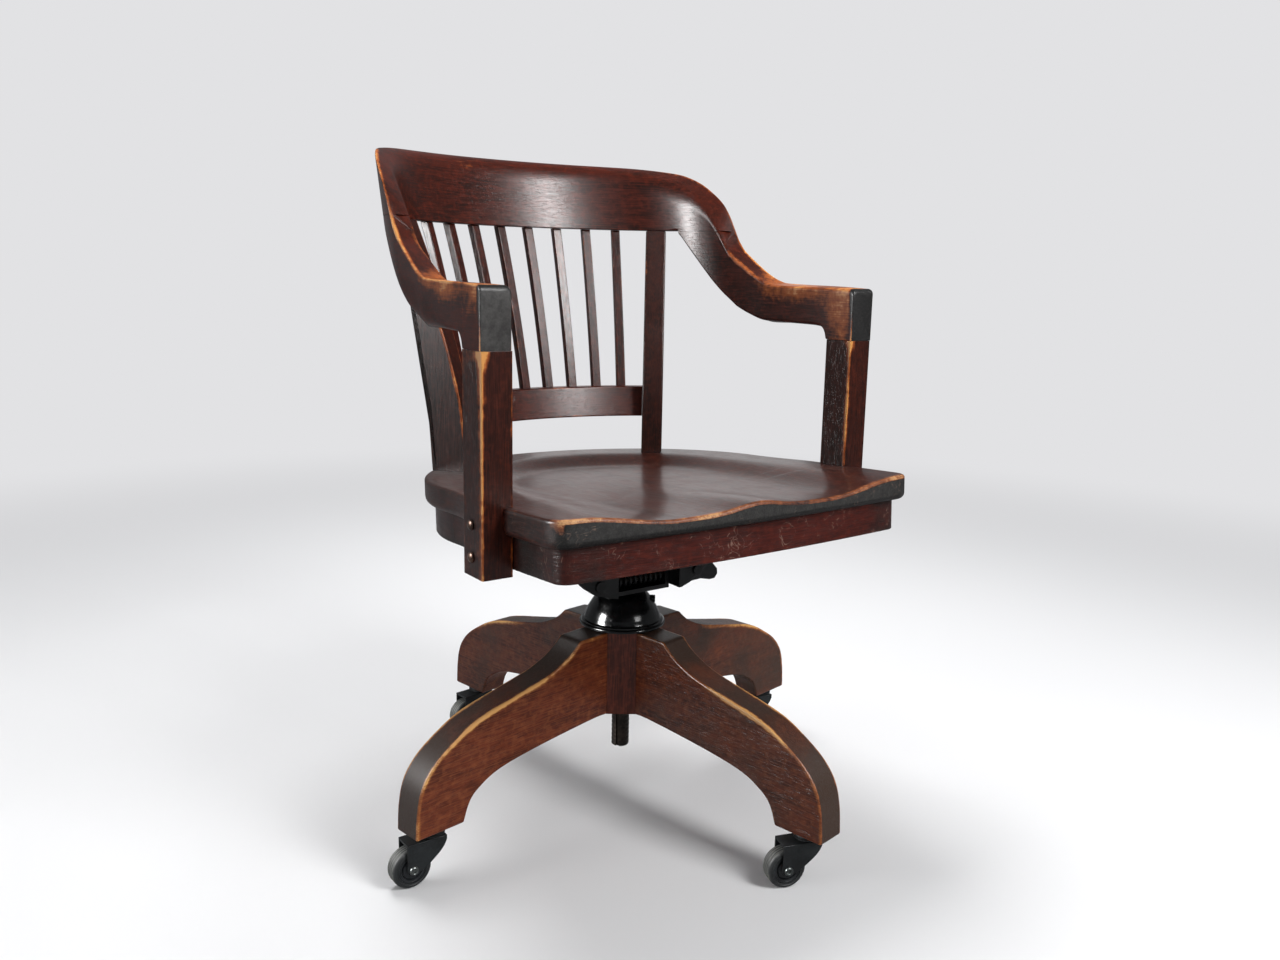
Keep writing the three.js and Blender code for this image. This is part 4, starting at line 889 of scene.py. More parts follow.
def seat_shell():
    """Rings from the middle out over the dish, a quarter circle over the edge, the side wall, a
    quarter circle under it, and the flat underside. The side carries the front's drop. The edge
    is rubbed all round, more at the front and by the corners, and most by the right one. The
    front face is black, and the side walls are rubbed beside the front corners."""
    edge_line, cut = seat_line(seat_edge, seat_corner - seat_edge)
    middle = np.array([0, -seat_front / 4])
    shares = np.concatenate([[0.01], np.linspace(0.05, 0.94, 34), [0.96, 0.975, 0.988, 1]])
    rings, worn, dark = [], [], []
    apart = np.hypot(np.abs(edge_line[:, 0]) - seat_half_width, edge_line[:, 1] + seat_front)
    corner = np.where(edge_line[:, 0] < 0, 1, 0.5)
    corner_top = corner * np.exp(-((apart / corner_rub) ** 2))
    on_side = np.abs(edge_line[:, 0]) > seat_half_width - side_wall_depth
    corner_side = corner * on_side * np.exp(-((apart / corner_side_rub) ** 2))
    front_only = smooth(1 - (edge_line[:, 1] + seat_front) / front_face_depth)
    for share in shares:
        ring = notched(middle + (edge_line - middle) * share, cut)
        rings.append(np.column_stack([ring, -dish(ring[:, 0], ring[:, 1])]))
        rim = smooth((share - 0.955) / 0.045)
        worn.append(rim * (0.2 + 0.22 * front_only + 0.3 * corner_top))
        dark.append(np.zeros(len(ring)))
    drop = rings[-1][:, 2]
    for turn in np.linspace(0, math.pi / 2, 7)[1:]:
        inset = seat_edge * (1 - math.sin(turn))
        ring = notched(seat_line(inset, seat_corner - inset)[0], cut)
        height = drop - seat_edge * (1 - math.cos(turn))
        rings.append(np.column_stack([ring, height]))
        worn.append(0.26 + 0.26 * front_only + 0.26 * corner_top)
        dark.append(front_only * (turn / math.pi - 0.1))
    outer, top = rings[-1][:, :2], rings[-1][:, 2]
    under_edge = 2 * seat_edge
    foot = -seat_thickness + under_edge
    for share in (0.06, 0.2, 0.5, 0.85, 1):
        rings.append(np.column_stack([outer, top + (foot - top) * share]))
        worn.append(0.25 - 0.35 * share + (0.62 - 0.2 * share) * corner_side)
        dark.append(front_only + 0.34 - 0.5 * corner_side)
    for turn in np.linspace(0, math.pi / 2, 6)[1:]:
        inset = under_edge * (1 - math.cos(turn))
        ring = notched(seat_line(inset, seat_corner - inset)[0], cut)
        rings.append(np.column_stack([ring, np.full(len(ring), foot - under_edge * math.sin(turn))]))
        worn.append(np.full(len(ring), -0.05))
        dark.append(front_only * 0.9 + 0.15)
    under = rings[-1]
    for share in (0.97, 0.6, 0.2, 0.01):
        ring = under * [share, share, 1] + [0, middle[1] * (1 - share), 0]
        rings.append(ring)
        worn.append(np.full(len(ring), -0.2))
        dark.append(np.full(len(ring), 0.3))
    grid = np.array(rings)
    polish = np.repeat(np.arange(len(rings)) < len(shares), grid.shape[1]).reshape(grid.shape[:2])
    grain = grid[..., [0, 2, 1]] + seat_grain_start
    return shell(on_seat(grid), grain=grain, worn=np.array(worn), dark=np.array(dark), polish=polish)


piece("seat", [seat_shell()], seat_wood)

# Apron: boards under the seat, 40 mm high, with round front corners and a rear one bent to the
# seat's back. Plain red-brown varnish with kicks and scratches along the front; the side and rear
# boards and the front board's ends are darkened as painted shade.
apron_wood = varnished(
    "apron_mahogany",
    deep=(40, 12, 8), body=(64, 19, 12), warm=(87, 29, 16),
    thin=(116, 66, 44), bare=(150, 108, 80), grime_and_shade=(20, 15, 12), scuffs=0.65,
)
apron_thickness = 0.022
apron_height = 0.04
apron_corner = 0.021
apron_edge = 0.0015
board_fade = 0.006
# The front board is free of painted shade this far to each side, and its painted shade deepens to its
# corners over the fall.
apron_unshaded_half = 0.17
apron_shade_fall = 0.05
apron_inset = seat_half_width - post_inner + clearance
apron_top = -seat_thickness - clearance
board_joint = apron_inset - seat_front + apron_thickness + seat_corner / 2


def board_along(start_y, end_y):
    """A side board or the rear board, whose ends are cut across at these places Y: the section
    goes along the seat's outline, drawn in by the apron's inset outside and by its thickness more
    inside. Points between the two outlines share out their difference."""
    outer, _ = seat_line(apron_inset, apron_corner)
    inner, _ = seat_line(apron_inset + apron_thickness, seat_edge)
    if start_y is None:
        outer, inner = (np.roll(line, len(line) // 2, 0) for line in (outer, inner))
    first_half = np.arange(len(outer)) < len(outer) // 2
    inside = outer[:, 1] < end_y if start_y is None else outer[:, 1] > start_y
    if start_y is not None and end_y is not None:
        inside = inside & (outer[:, 1] < end_y) & first_half
    picked = np.flatnonzero(inside)
    picked = np.arange(picked[0] - 1, picked[-1] + 2)
    low = -1 if start_y is None else start_y
    high = 1 if end_y is None else end_y
    outer, inner = (np.column_stack([line[picked, 0], np.clip(line[picked, 1], low, high)])
                    for line in (outer, inner))
    section, near = eased_section(apron_thickness, apron_height, apron_edge, board_fade)
    share = (0.5 - section[:, 0] / apron_thickness)[None, :, None]
    flat = outer[:, None] * (1 - share) + inner[:, None] * share
    height = apron_top - apron_height / 2 + section[:, 1]
    length = np.concatenate([[0], np.cumsum(np.linalg.norm(np.diff(outer, axis=0), axis=1))])
    grid = points_at(flat[..., 0], flat[..., 1], height)
    return grid, points_at(section[:, 0], height, length[:, None]), near


for board, ends, side in (
    ("front", (None, board_joint - clearance), 1),
    ("left", (board_joint, seat_centre_back - clearance), 1),
    ("right", (board_joint, seat_centre_back - clearance), -1),
    ("back", (seat_centre_back, None), 1),
):
    grid, grain, near = board_along(*ends)
    # Painted shade: the side and rear boards under the seat, and the front board toward its ends, are
    # darkened.
    painted_shade = smooth((np.abs(grid[..., 0]) - apron_unshaded_half) / apron_shade_fall) if board == "front" else 1
    dark = near * 0.1 + 0.5 * painted_shade
    board_shell = shell(on_seat(grid * [side, 1, 1]), grain=grain + side, worn=near * 0.24, dark=dark)
    piece("apron_" + board, [board_shell], apron_wood)

# Arm posts: square mahogany posts let into the seat's sides and bolted through the apron. Their
# front edges are rubbed through to bare wood from top to bottom.
post_wood = varnished(
    "post_mahogany",
    deep=(28, 10, 6), body=(50, 17, 9), warm=(76, 29, 15),
    thin=(158, 80, 34), bare=(206, 142, 72), grime_and_shade=(24, 19, 17),
)
post_edge = 0.002
bar_fade = 0.012
bar_end_share = 0.2
head_patch_share = 0.06
head_patch_radius = 0.018
clean_dark = 0.05


def rounded_ends(count, length, edge):
    """For a bar of this length: places along it, and how far its section shrinks at each of them.
    At both ends it shrinks by the edge along a quarter circle."""
    turn = np.linspace(0, math.pi / 2, 4)
    lead = edge * (1 - np.cos(turn))
    place = np.concatenate([lead, np.linspace(lead[-1] + edge / 8, length - lead[-1] - edge / 8, count)])
    place = np.concatenate([place, (length - lead)[::-1]])
    shrink = edge * (1 - np.sin(turn))
    return place, np.concatenate([shrink, np.zeros(count), shrink[::-1]])


def shrunk(section, amount):
    """A section about its middle, each side moved in by the amount."""
    size = np.abs(section).max(0)
    return section * (1 - np.asarray(amount)[..., None, None] / size)


def bar(width, height, edge, length, steps):
    """A straight bar up the Z axis: a rectangle's section with round corners, which shrinks along
    a quarter circle at both ends. Gives the grid, the nearness to an edge and the section."""
    section, near = eased_section(width, height, edge, bar_fade)
    place, shrink = rounded_ends(steps, length, edge * bar_end_share)
    rings = shrunk(np.broadcast_to(section, (len(place), *section.shape)), shrink)
    return points_at(rings[..., 0], rings[..., 1], place[:, None]), near


for name, side, rub in (("left", 1, 0.2), ("right", -1, 0.42)):
    low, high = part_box("arm_post_" + name)
    size = high - low
    grid, near = bar(size.x, size.y, post_edge, size.z, 40)
    front = grid[..., 1] < 0
    rise = grid[..., 2] / size.z
    corner = np.hypot(grid[..., 0] + size.x / 2, grid[..., 1] + size.y / 2)
    head = np.exp(-(((rise - 1) / head_patch_share) ** 2) - (corner / head_patch_radius) ** 2)
    line_rub = 0.36 + 0.24 * smooth((rise - 0.2) / 0.35)
    edge_rub = np.where(front, np.where(grid[..., 0] < 0, line_rub, rub), 0.16)
    worn = near**3 * edge_rub + 1.25 * rub * head
    worn = worn + 0.45 * rub * (grid[..., 0] < -0.9 * size.x / 2)
    grain = grid + [side, 0, 0]
    placed = grid + [(low.x + high.x) / 2, (low.y + high.y) / 2, low.z]
    post_shell = shell(placed, grain=grain, worn=worn, dark=clean_dark)
    piece("arm_post_" + name, [post_shell], post_wood)

# Post bolts: two iron bolts through each post into the apron, one above the other. Their round
# heads stand proud of the post, and are bronzed and rubbed.
bolt_iron = painted("bolt_iron", (52, 38, 32), (104, 80, 66), 0.36, 0.7, 600.0, 0.00005)
bolt_radius = 0.0035
bolt_head_height = 0.004
bolt_brim_share = 0.12
bolt_brim_radius_share = 0.93
for name, side in (("left", 1), ("right", -1)):
    for number in ("1", "2"):
        node = "post_bolt_" + name + "_" + number
        low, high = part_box(node)
        head_radius = (high.z - low.z) / 2
        length = high.x - low.x
        brim = bolt_head_height * bolt_brim_share
        dome_height = bolt_head_height - brim
        dome = corner_arc((0, 0), 1, 12, 90, 9) * [head_radius, dome_height]
        brim_edge = [head_radius * bolt_brim_radius_share, -brim]
        dome = np.vstack([brim_edge, dome]) + [0, length - dome_height]
        shank_end = length - bolt_head_height
        profile = np.vstack([[[0, 0], [bolt_radius, 0], [bolt_radius, shank_end]], dome])
        grid = turned(profile, 40)[..., [2, 0, 1]] * [side, 1, 1]
        start = low.x if side > 0 else high.x
        placed = grid + [start, (low.y + high.y) / 2, (low.z + high.z) / 2]
        piece(node, [shell(placed)], bolt_iron)

# Bow: two arms and a crest rail, sawn from thick plank and bent round the back, which meet at a
# flat scarf. The upper edges of the arms are rubbed golden, and their front end grain is black;
# on the right arm it is paler grey, a crust with painted reflection.
bow_wood = varnished(
    "bow_mahogany",
    deep=(34, 12, 6), body=(67, 22, 11), warm=(96, 34, 17),
    thin=(164, 86, 38), bare=(208, 142, 76), grime_and_shade=(24, 23, 23),
)
arm_joint_rise = 0.1812
scarf_rise = 0.3312
crest_height = 0.103
arm_joint = seat_height + arm_joint_rise
scarf_height = seat_height + scarf_rise
crest_top = scarf_height + crest_height
bow_lean = 0.3
bow_lean_start = 0.1
bow_back = 0.312
bow_radius = 0.34
shoulder_in = 0.0112
post_middle = (post_outer + post_inner) / 2
shoulder_x = post_middle - shoulder_in
shoulder_y = 0.11
crest_thickness = 0.024
arm_edge = 0.005
joint_edge = 0.0008
end_side_edge = 0.0022
end_top_edge = 0.007
swoop_round = 0.009
swoop_rise = 0.044
bow_fade = 0.0045
post_front = -post_forward - post_depth / 2
bow_centre = bow_back - bow_radius
outer_top_shares = [
    [0, 0.274], [0.114, 0.283], [0.25, 0.288], [0.334, 0.293], [0.377, 0.309], [0.441, 0.349],
    [0.488, 0.394], [0.533, 0.453], [0.554, 0.489], [0.571, 0.546], [0.584, 0.63], [0.594, 0.696],
    [0.612, 0.768], [0.645, 0.838], [0.679, 0.893], [0.712, 0.929], [0.744, 0.953], [0.8, 0.973],
    [0.87, 0.988], [1, 1],
]
inner_top_shares = [
    [0, 0.274], [0.114, 0.277], [0.25, 0.278], [0.334, 0.282], [0.38, 0.298], [0.453, 0.346],
    [0.507, 0.392], [0.554, 0.45], [0.576, 0.497], [0.592, 0.55], [0.609, 0.604], [0.64, 0.689],
    [0.66, 0.731], [0.692, 0.787], [0.725, 0.83], [0.761, 0.872], [0.82, 0.925], [0.89, 0.961],
    [1, 0.975],
]
bottom_shares = [
    [0, 0], [0.0975, 0], [0.103, 0.032], [0.112, 0.055], [0.125, 0.066], [0.163, 0.071],
    [0.25, 0.073], [0.334, 0.075], [0.377, 0.078], [0.447, 0.091], [0.518, 0.115], [0.563, 0.146],
    [0.594, 0.182], [0.629, 0.229], [0.661, 0.288], [0.69, 0.358], [0.717, 0.433], [0.741, 0.508],
    [0.762, 0.573], [0.778, 0.6], [1, 0.6],
]
thickness_shares = [
    [0, 1], [0.1, 1], [0.3, 0.72], [0.57, 0.46], [0.65, 0.2], [0.74, 0], [1, 0],
]
swoop_shares = [[0.2, 0], [0.45, 1], [0.72, 1], [0.765, 0.3], [0.85, 0], [1, 0]]
# How round the two upper edges are, in shares of the crest's thickness.
inner_round_shares = [
    [0, 0.34], [0.06, 0.26], [0.2, 0.2], [0.5, 0.22], [0.6, 0.34], [0.72, 0.6], [1, 0.66],
]
outer_round_shares = [[0, 0.14], [0.5, 0.17], [0.65, 0.26], [0.8, 0.3], [1, 0.3]]
# Where the underside's edges turn from crisp over the post to soft, and crisp again on the crest.
soft_from_share = 0.1
soft_to_share = 0.77
soft_change_share = 0.03
swoop_side_share = 0.3
swoop_under_share = 0.16
# On the crest the inner edge's round reaches further down the wall, by this share of it.
inner_drop_share = 0.6
inner_drop_from_share = 0.6
inner_drop_change_share = 0.15
# A flat keeps at least its middle, so each fade takes up this share of it at most.
fade_limit_share = 0.4


def along(table, place):
    """The value of a table of [place, value] rows at a place: a cubic through the rows, whose
    slope at a row is the harmonic mean of the slopes beside it, so that it never swings past."""
    places, values = np.array(table, float).T
    rises = np.diff(values) / np.diff(places)
    before, after = rises[:-1], rises[1:]
    same = before * after > 0
    middle = np.where(same, 2 * before * after / np.where(same, before + after, 1), 0)
    slopes = np.concatenate([rises[:1], middle, rises[-1:]])
    place = np.clip(place, places[0], places[-1])
    row = np.clip(np.searchsorted(places, place, side="right") - 1, 0, len(rises) - 1)
    width = np.diff(places)[row]
    t = (place - places[row]) / width
    swing = width * t * (1 - t) * ((1 - t) * slopes[row] - t * slopes[row + 1])
    return values[row] * (1 - t) ** 2 * (1 + 2 * t) + values[row + 1] * t**2 * (3 - 2 * t) + swing


def bow_bend():
    """The shoulder's arc: tangent to the straight arm where it ends and to the back's big arc."""
    slope = (post_middle - shoulder_x) / (shoulder_y + post_forward)
    inward = -np.array([math.cos(math.atan(slope)), math.sin(math.atan(slope))])
    reach = np.array([shoulder_x, shoulder_y - bow_centre])
    radius = (bow_radius**2 - reach @ reach) / (2 * (bow_radius + inward @ reach))
    middle = np.array([shoulder_x, shoulder_y]) + radius * inward
    return slope, radius, middle, math.atan2(middle[0], middle[1] - bow_centre)


arm_slope, bend_radius, bend_middle, bend_end = bow_bend()
bend_end_y = bow_centre + bow_radius * math.cos(bend_end)


def bow_line(y):
    """Where the plan line passes each place Y, and its outward direction there: a straight arm,
    then the shoulder's arc, then the back's arc."""
    in_bend = y < bend_end_y
    middle_x = np.where(in_bend, bend_middle[0], 0)
    middle_y = np.where(in_bend, bend_middle[1], bow_centre)
    radius = np.where(in_bend, bend_radius, bow_radius)
    cosine = np.clip((y - middle_y) / radius, -1, 1)
    sine = np.sqrt(1 - cosine**2)
    straight = y < shoulder_y
    x = np.where(straight, shoulder_x + arm_slope * (shoulder_y - y), middle_x + radius * sine)
    return x, np.where(straight, 1, sine), np.where(straight, 0, cosine)


def rounded_corner(start, corner, end, before, after):
    """For each ring, a corner of its section: a quadratic from start to end about the corner,
    with two points on the flat at each side of it, as far out as before and after say."""
    t = np.linspace(0, 1, 8)[None, :, None]
    start, corner, end = (np.stack(np.broadcast_arrays(*pair), -1)[:, None] for pair in (start, corner, end))
    curve = start * (1 - t) ** 2 + 2 * corner * t * (1 - t) + end * t**2
    back = start - corner
    back = back / np.linalg.norm(back, axis=-1, keepdims=True)
    on = end - corner
    on = on / np.linalg.norm(on, axis=-1, keepdims=True)
    before, after = (np.broadcast_to(fade, len(corner))[:, None, None] for fade in (before, after))
    parts = [start + back * before, start + back * before / 8, curve, end + on * after / 8, end + on * after]
    return np.concatenate(parts, 1)


corner_near = np.array([0, 0.6, *(0.75 + 0.25 * np.sin(np.linspace(0, math.pi, 8))), 0.6, 0])
corner_points = len(corner_near)


def bow_rings(y, edge_weights):
    """The whole bow's section at each place Y: four round corners between the underside, the two
    walls and the top, each read from its own line of shares. At the front the walls draw in and
    the top comes down, each along a quarter circle of its own size."""
    place = (y - post_front) / (bow_back - post_front)
    x, out_x, out_y = bow_line(y)
    half = (crest_thickness + (post_width - crest_thickness) * along(thickness_shares, place)) / 2
    rise = crest_top - arm_joint
    outer_top = arm_joint + rise * along(outer_top_shares, place)
    inner_top = arm_joint + rise * along(inner_top_shares, place)
    crest_bottom = scarf_height + clearance / 2
    bottom = np.minimum(arm_joint + rise * along(bottom_shares, place), crest_bottom)
    bottom = np.where(place > bottom_shares[-3][0], crest_bottom, bottom)
    swoop = along(swoop_shares, place)
    softened = smooth((place - soft_from_share) / soft_change_share)
    below = joint_edge + (arm_edge - joint_edge) * softened
    below = below + (joint_edge * 2 - below) * smooth((place - soft_to_share) / soft_change_share)
    draw = below + (swoop_round - below) * swoop
    lift = below + (swoop_rise - below) * swoop
    inner_round = crest_thickness * along(inner_round_shares, place)
    outer_round = crest_thickness * along(outer_round_shares, place)
    low_fade = np.minimum(bow_fade, fade_limit_share * (2 * half - draw - below))
    top_width = np.hypot(2 * half, outer_top - inner_top)
    top_fade = np.minimum(bow_fade, fade_limit_share * (top_width - inner_round - outer_round))
    level, climb = 2 * half / top_width, (outer_top - inner_top) / top_width
    on_crest = smooth((place - inner_drop_from_share) / inner_drop_change_share)
    inner_drop = inner_round * (1 + inner_drop_share * on_crest)
    swoop_corner = (half - draw * swoop_side_share * swoop, bottom + lift * swoop_under_share * swoop)
    outer_end = (half - level * outer_round, outer_top - climb * outer_round)
    inner_start = (-half + level * inner_round, inner_top + climb * inner_round)
    under_start, under_end = (-half, bottom + below), (-half + below, bottom)
    corners = [
        rounded_corner(under_start, (-half, bottom), under_end, bow_fade, low_fade),
        rounded_corner((half - draw, bottom), swoop_corner, (half, bottom + lift), low_fade, bow_fade),
        rounded_corner((half, outer_top - outer_round), (half, outer_top), outer_end, bow_fade, top_fade),
        rounded_corner(inner_start, (-half, inner_top), (-half, inner_top - inner_drop), top_fade, bow_fade),
    ]
    section = np.concatenate(corners, 1)
    worn = np.concatenate([corner_near * weight(place)[:, None] for weight in edge_weights], 1)
    size = np.stack([half, outer_top - bottom], -1)
    edge = np.array([end_side_edge, end_top_edge])
    left = np.clip(edge - (y - post_front)[:, None], 0, edge)
    keep = 1 - (edge - np.sqrt(edge**2 - left**2)) / size
    base = np.stack([np.zeros_like(half), bottom], -1)[:, None]
    section = base + (section - base) * keep[:, None]
    lean = bow_lean * smooth(y / bow_lean_start)
    length = np.concatenate([[0], np.cumsum(np.hypot(np.diff(x), np.diff(y)))])[:, None]
    line = (x[:, None], y[:, None], out_x[:, None], out_y[:, None], lean[:, None])
    return line, section[..., 0], section[..., 1], length, worn


def cut_level(offset, height, plane, keep_above):
    """Each ring cut off level at the plane: the points past it come back to the plane, to between
    the two places where the ring crosses it."""
    next_offset, next_height = np.roll(offset, -1, 1), np.roll(height, -1, 1)
    crossing = (height < plane) != (next_height < plane)
    share = (plane - height) / np.where(crossing, next_height - height, 1)
    at = offset + share * (next_offset - offset)
    low = np.where(crossing, at, 1).min(1, keepdims=True)
    high = np.where(crossing, at, -1).max(1, keepdims=True)
    past = (height < plane) if keep_above else (height > plane)
    past = past & crossing.any(1, keepdims=True)
    return np.where(past, np.clip(offset, low, high), offset), np.where(past, plane, height)


def bow_grid(line, offset, height, side):
    """The section's offsets and heights, set out from the plan line and leaned back."""
    x, y, out_x, out_y, lean = line
    back = y + offset * out_y + lean * (height - scarf_height)
    return points_at(side * (x + offset * out_x) + axis_x, back, height)


def weight_line(*rows):
    """How much an edge is rubbed along the bow, from rows of place and weight."""
    return lambda place: np.interp(place, *zip(*rows))


# The arm's rings: close at its rounded end and where it leaves the post, wider between.
arm_end_shares = [0, 0.0004, 0.0012, 0.0024, 0.0045, 0.0065, 0.009, 0.012, 0.015, 0.02, 0.026]
arm_places = np.concatenate([
    arm_end_shares, np.linspace(0.034, 0.094, 7), np.linspace(0.0975, 0.13, 16),
    np.linspace(0.14, 0.5, 46), np.linspace(0.505, 0.7618, 60),
])
arm_y = post_front + arm_places * (bow_back - post_front)
arm_weights = (
    weight_line((0, 0.1), (0.09, 0.1), (0.11, 0.24), (0.4, 0.12), (1, 0.1)),
    weight_line((0, 0.12), (1, 0.12)),
    weight_line((0, 0.72), (0.3, 0.76), (0.45, 0.74), (0.58, 0.62), (0.75, 0.42)),
    weight_line((0, 0.46), (0.35, 0.44), (0.5, 0.54), (0.56, 0.46), (0.7, 0.14)),
)
# The rubbed patch on each arm's inner face: how far back it lies, and how far it reaches.
inner_rub_place = 0.02
inner_rub_reach = 0.03
inner_rub_depth = 0.01
# The arm's flat top is rubbed all over up to this share of the way back.
flat_rub_share = 0.35
flat_rub_change_share = 0.2
front_rim_depth = end_side_edge * 2.5
# The front end grain is crusted black; on the right arm a paler grey crust there is partly painted
# reflection.
for name, side, front_crust_and_sheen in (("left", 1, 1.0), ("right", -1, 1.6)):
    line, offset, height, length, worn = bow_rings(arm_y, arm_weights)
    offset, height = cut_level(offset, height, scarf_height - clearance / 2, False)
    grid = bow_grid(line, offset, height, side)
    depth = (arm_y - post_front)[:, None] + 0 * offset
    on_top = np.arange(offset.shape[1])[None, :] >= 2 * corner_points
    on_front = depth < end_side_edge / 10
    dark = np.where(on_front, front_crust_and_sheen, np.where(on_top, 1 - smooth(depth / end_top_edge - 0.4), 0))
    flat = 1 - smooth((arm_places[:, None] - flat_rub_share) / flat_rub_change_share)
    worn = np.where(on_top, np.maximum(worn, 0.56 * flat), worn)
    inside = smooth(-offset / inner_rub_depth) * ~on_top
    worn = worn + inside * 0.38 * np.exp(-(((depth - inner_rub_place) / inner_rub_reach) ** 2))
    rim = 0.68 * (1 - smooth(depth / front_rim_depth))
    worn = np.where(on_front, -0.5, np.where(on_top, worn - dark * 0.6, np.maximum(worn, rim)))
    grain = points_at(offset + side, height, length)
    arm_shell = shell(grid, grain=grain, worn=worn, dark=dark)
    piece("arm_" + name, [arm_shell], bow_wood)

# The crest starts where its outer top comes through the scarf. Its rings follow the shoulder's
# arc by their place, and the back's arc by their angle.
crest_start_share = 0.579
arc_lead = 0.001
crest_bend_y = post_front + np.linspace(crest_start_share, 0.9, 90) * (bow_back - post_front)
crest_bend_y = crest_bend_y[crest_bend_y < bend_end_y - arc_lead]
crest_arc_y = bow_centre + bow_radius * np.cos(np.linspace(bend_end, 0, 40))
crest_y = np.concatenate([crest_bend_y, crest_arc_y])
crest_under = weight_line((0, 0.16), (1, 0.16))
crest_weights = (
    crest_under, crest_under,
    weight_line((0.58, 0.6), (0.75, 0.5), (0.85, 0.24), (1, 0.2)),
    weight_line((0.6, 0.3), (0.7, 0.1), (0.8, 0.16), (1, 0.2)),
)
line, offset, height, length, worn = bow_rings(crest_y, crest_weights)
offset, height = cut_level(offset, height, scarf_height + clearance / 2, True)
half_grid = bow_grid(line, offset, height, 1)
other_grid = bow_grid(line, offset, height, -1)[-2::-1]
crest_grain = points_at(offset, height, length - length[-1])
crest_shell = shell(
    np.vstack([half_grid, other_grid]),
    grain=np.vstack([crest_grain, (crest_grain * [1, 1, -1])[-2::-1]]),
    worn=np.vstack([worn, worn[-2::-1]]), dark=0,
)
piece("crest_rail", [crest_shell], bow_wood)

# Back posts: planks set on edge along the radius, tenoned into the seat and the crest, wide at
# the seat and narrow at the head. Their front edges are rubbed through.
post_turn = math.radians(36)
back_post_side = 0.0363
back_post_width = 0.0315
back_post_front = 0.211
back_post_root = 0.055
back_post_head = 0.021
back_post_proud = 0.004
back_post_edge = 0.0022
back_post_fade = 0.005
back_post_steps = 60
back_front_shares = [
    [0, 0], [0.246, 0.093], [0.333, 0.153], [0.424, 0.24], [0.512, 0.333], [0.6, 0.444],
    [0.708, 0.567], [1, 1],
]
back_back_shares = [[0, 0], [0.246, 0.107], [0.424, 0.296], [0.59, 0.464], [0.65, 0.52], [1, 1]]


def back_post_outline():
    """The side view in the plank's own plane: reach from the middle, and height. Gives the
    outline, and nought for its back points and one for its front ones."""
    seat_at_root = seat_height - math.tan(seat_tilt) * back_post_front * math.cos(post_turn)
    root = seat_at_root - 2 * seat_edge
    head = scarf_height - clearance
    centre_reach = bow_centre * math.cos(post_turn)
    centre_reach += math.sqrt(bow_radius**2 - (bow_centre * math.sin(post_turn)) ** 2)
    head_front = centre_reach - crest_thickness / 2 - back_post_proud
    share = np.linspace(0, 1, back_post_steps)
    height = root + (head - root) * share
    front = back_post_front + (head_front - back_post_front) * along(back_front_shares, share)
    root_back = back_post_front + back_post_root
    back = root_back + (head_front + back_post_head - root_back) * along(back_back_shares, share)
    outline = np.vstack([np.column_stack([back, height]), np.column_stack([front, height])[::-1]])
    return outline, np.repeat([0, 1], back_post_steps)


outline, front_side = back_post_outline()
for name, side, rub in (("left", 1, 0.12), ("right", -1, 0.44)):
    grid, near = plank(outline, back_post_width / 2, back_post_edge, back_post_fade)
    worn = near[:, None] * (0.12 + rub * front_side)
    grain = grid[..., [1, 0, 2]] + [side, 0, 0]
    placed = turned_about(grid - [0, back_post_side, 0], math.radians(90) - post_turn) * [side, 1, 1]
    plane = seat_height - math.tan(seat_tilt) * placed[..., 1] + clearance
    placed[..., 2] = np.maximum(placed[..., 2], plane)
    placed = placed + [axis_x, 0, 0]
    node = "back_post_" + name
    post_shell = shell(placed, grain=grain, worn=worn, dark=clean_dark)
    piece(node, [post_shell], post_wood)

# Lower back rail: mahogany bent to the same curve as the crest. It runs between the back posts,
# with its ends cut to their inner faces, and carries the feet of the slats.
rail_grain_start = 3.3
rail_rise = 0.0457
rail_height = 0.045
rail_thickness = 0.02
rail_edge = 0.002
rail_low = seat_height + rail_rise
rail_high = rail_low + rail_height
section, near = eased_section(rail_thickness, rail_height, rail_edge, board_fade)
rail_radius = bow_radius + section[:, 0]
rail_z = (rail_low + rail_high) / 2 + section[:, 1]
rail_lean = bow_centre + bow_lean * (rail_z - scarf_height)
plank_face = -back_post_side + back_post_width / 2 + clearance
rail_end = np.arccos((plank_face - math.cos(math.radians(90) - post_turn) * rail_lean) / rail_radius)
rail_end = rail_end - (math.radians(90) - post_turn)
share = np.linspace(-1, 1, 60)[:, None]
angle = share * rail_end
rail_x = rail_radius * np.sin(angle) + axis_x
rail_grid = points_at(rail_x, rail_lean + rail_radius * np.cos(angle), rail_z)
rail_grain = points_at(section[:, 0], rail_z, angle * bow_radius) + rail_grain_start
rail_shell = shell(rail_grid, grain=rail_grain, worn=near * 0.3, dark=clean_dark)
piece("lower_back_rail", [rail_shell], bow_wood)

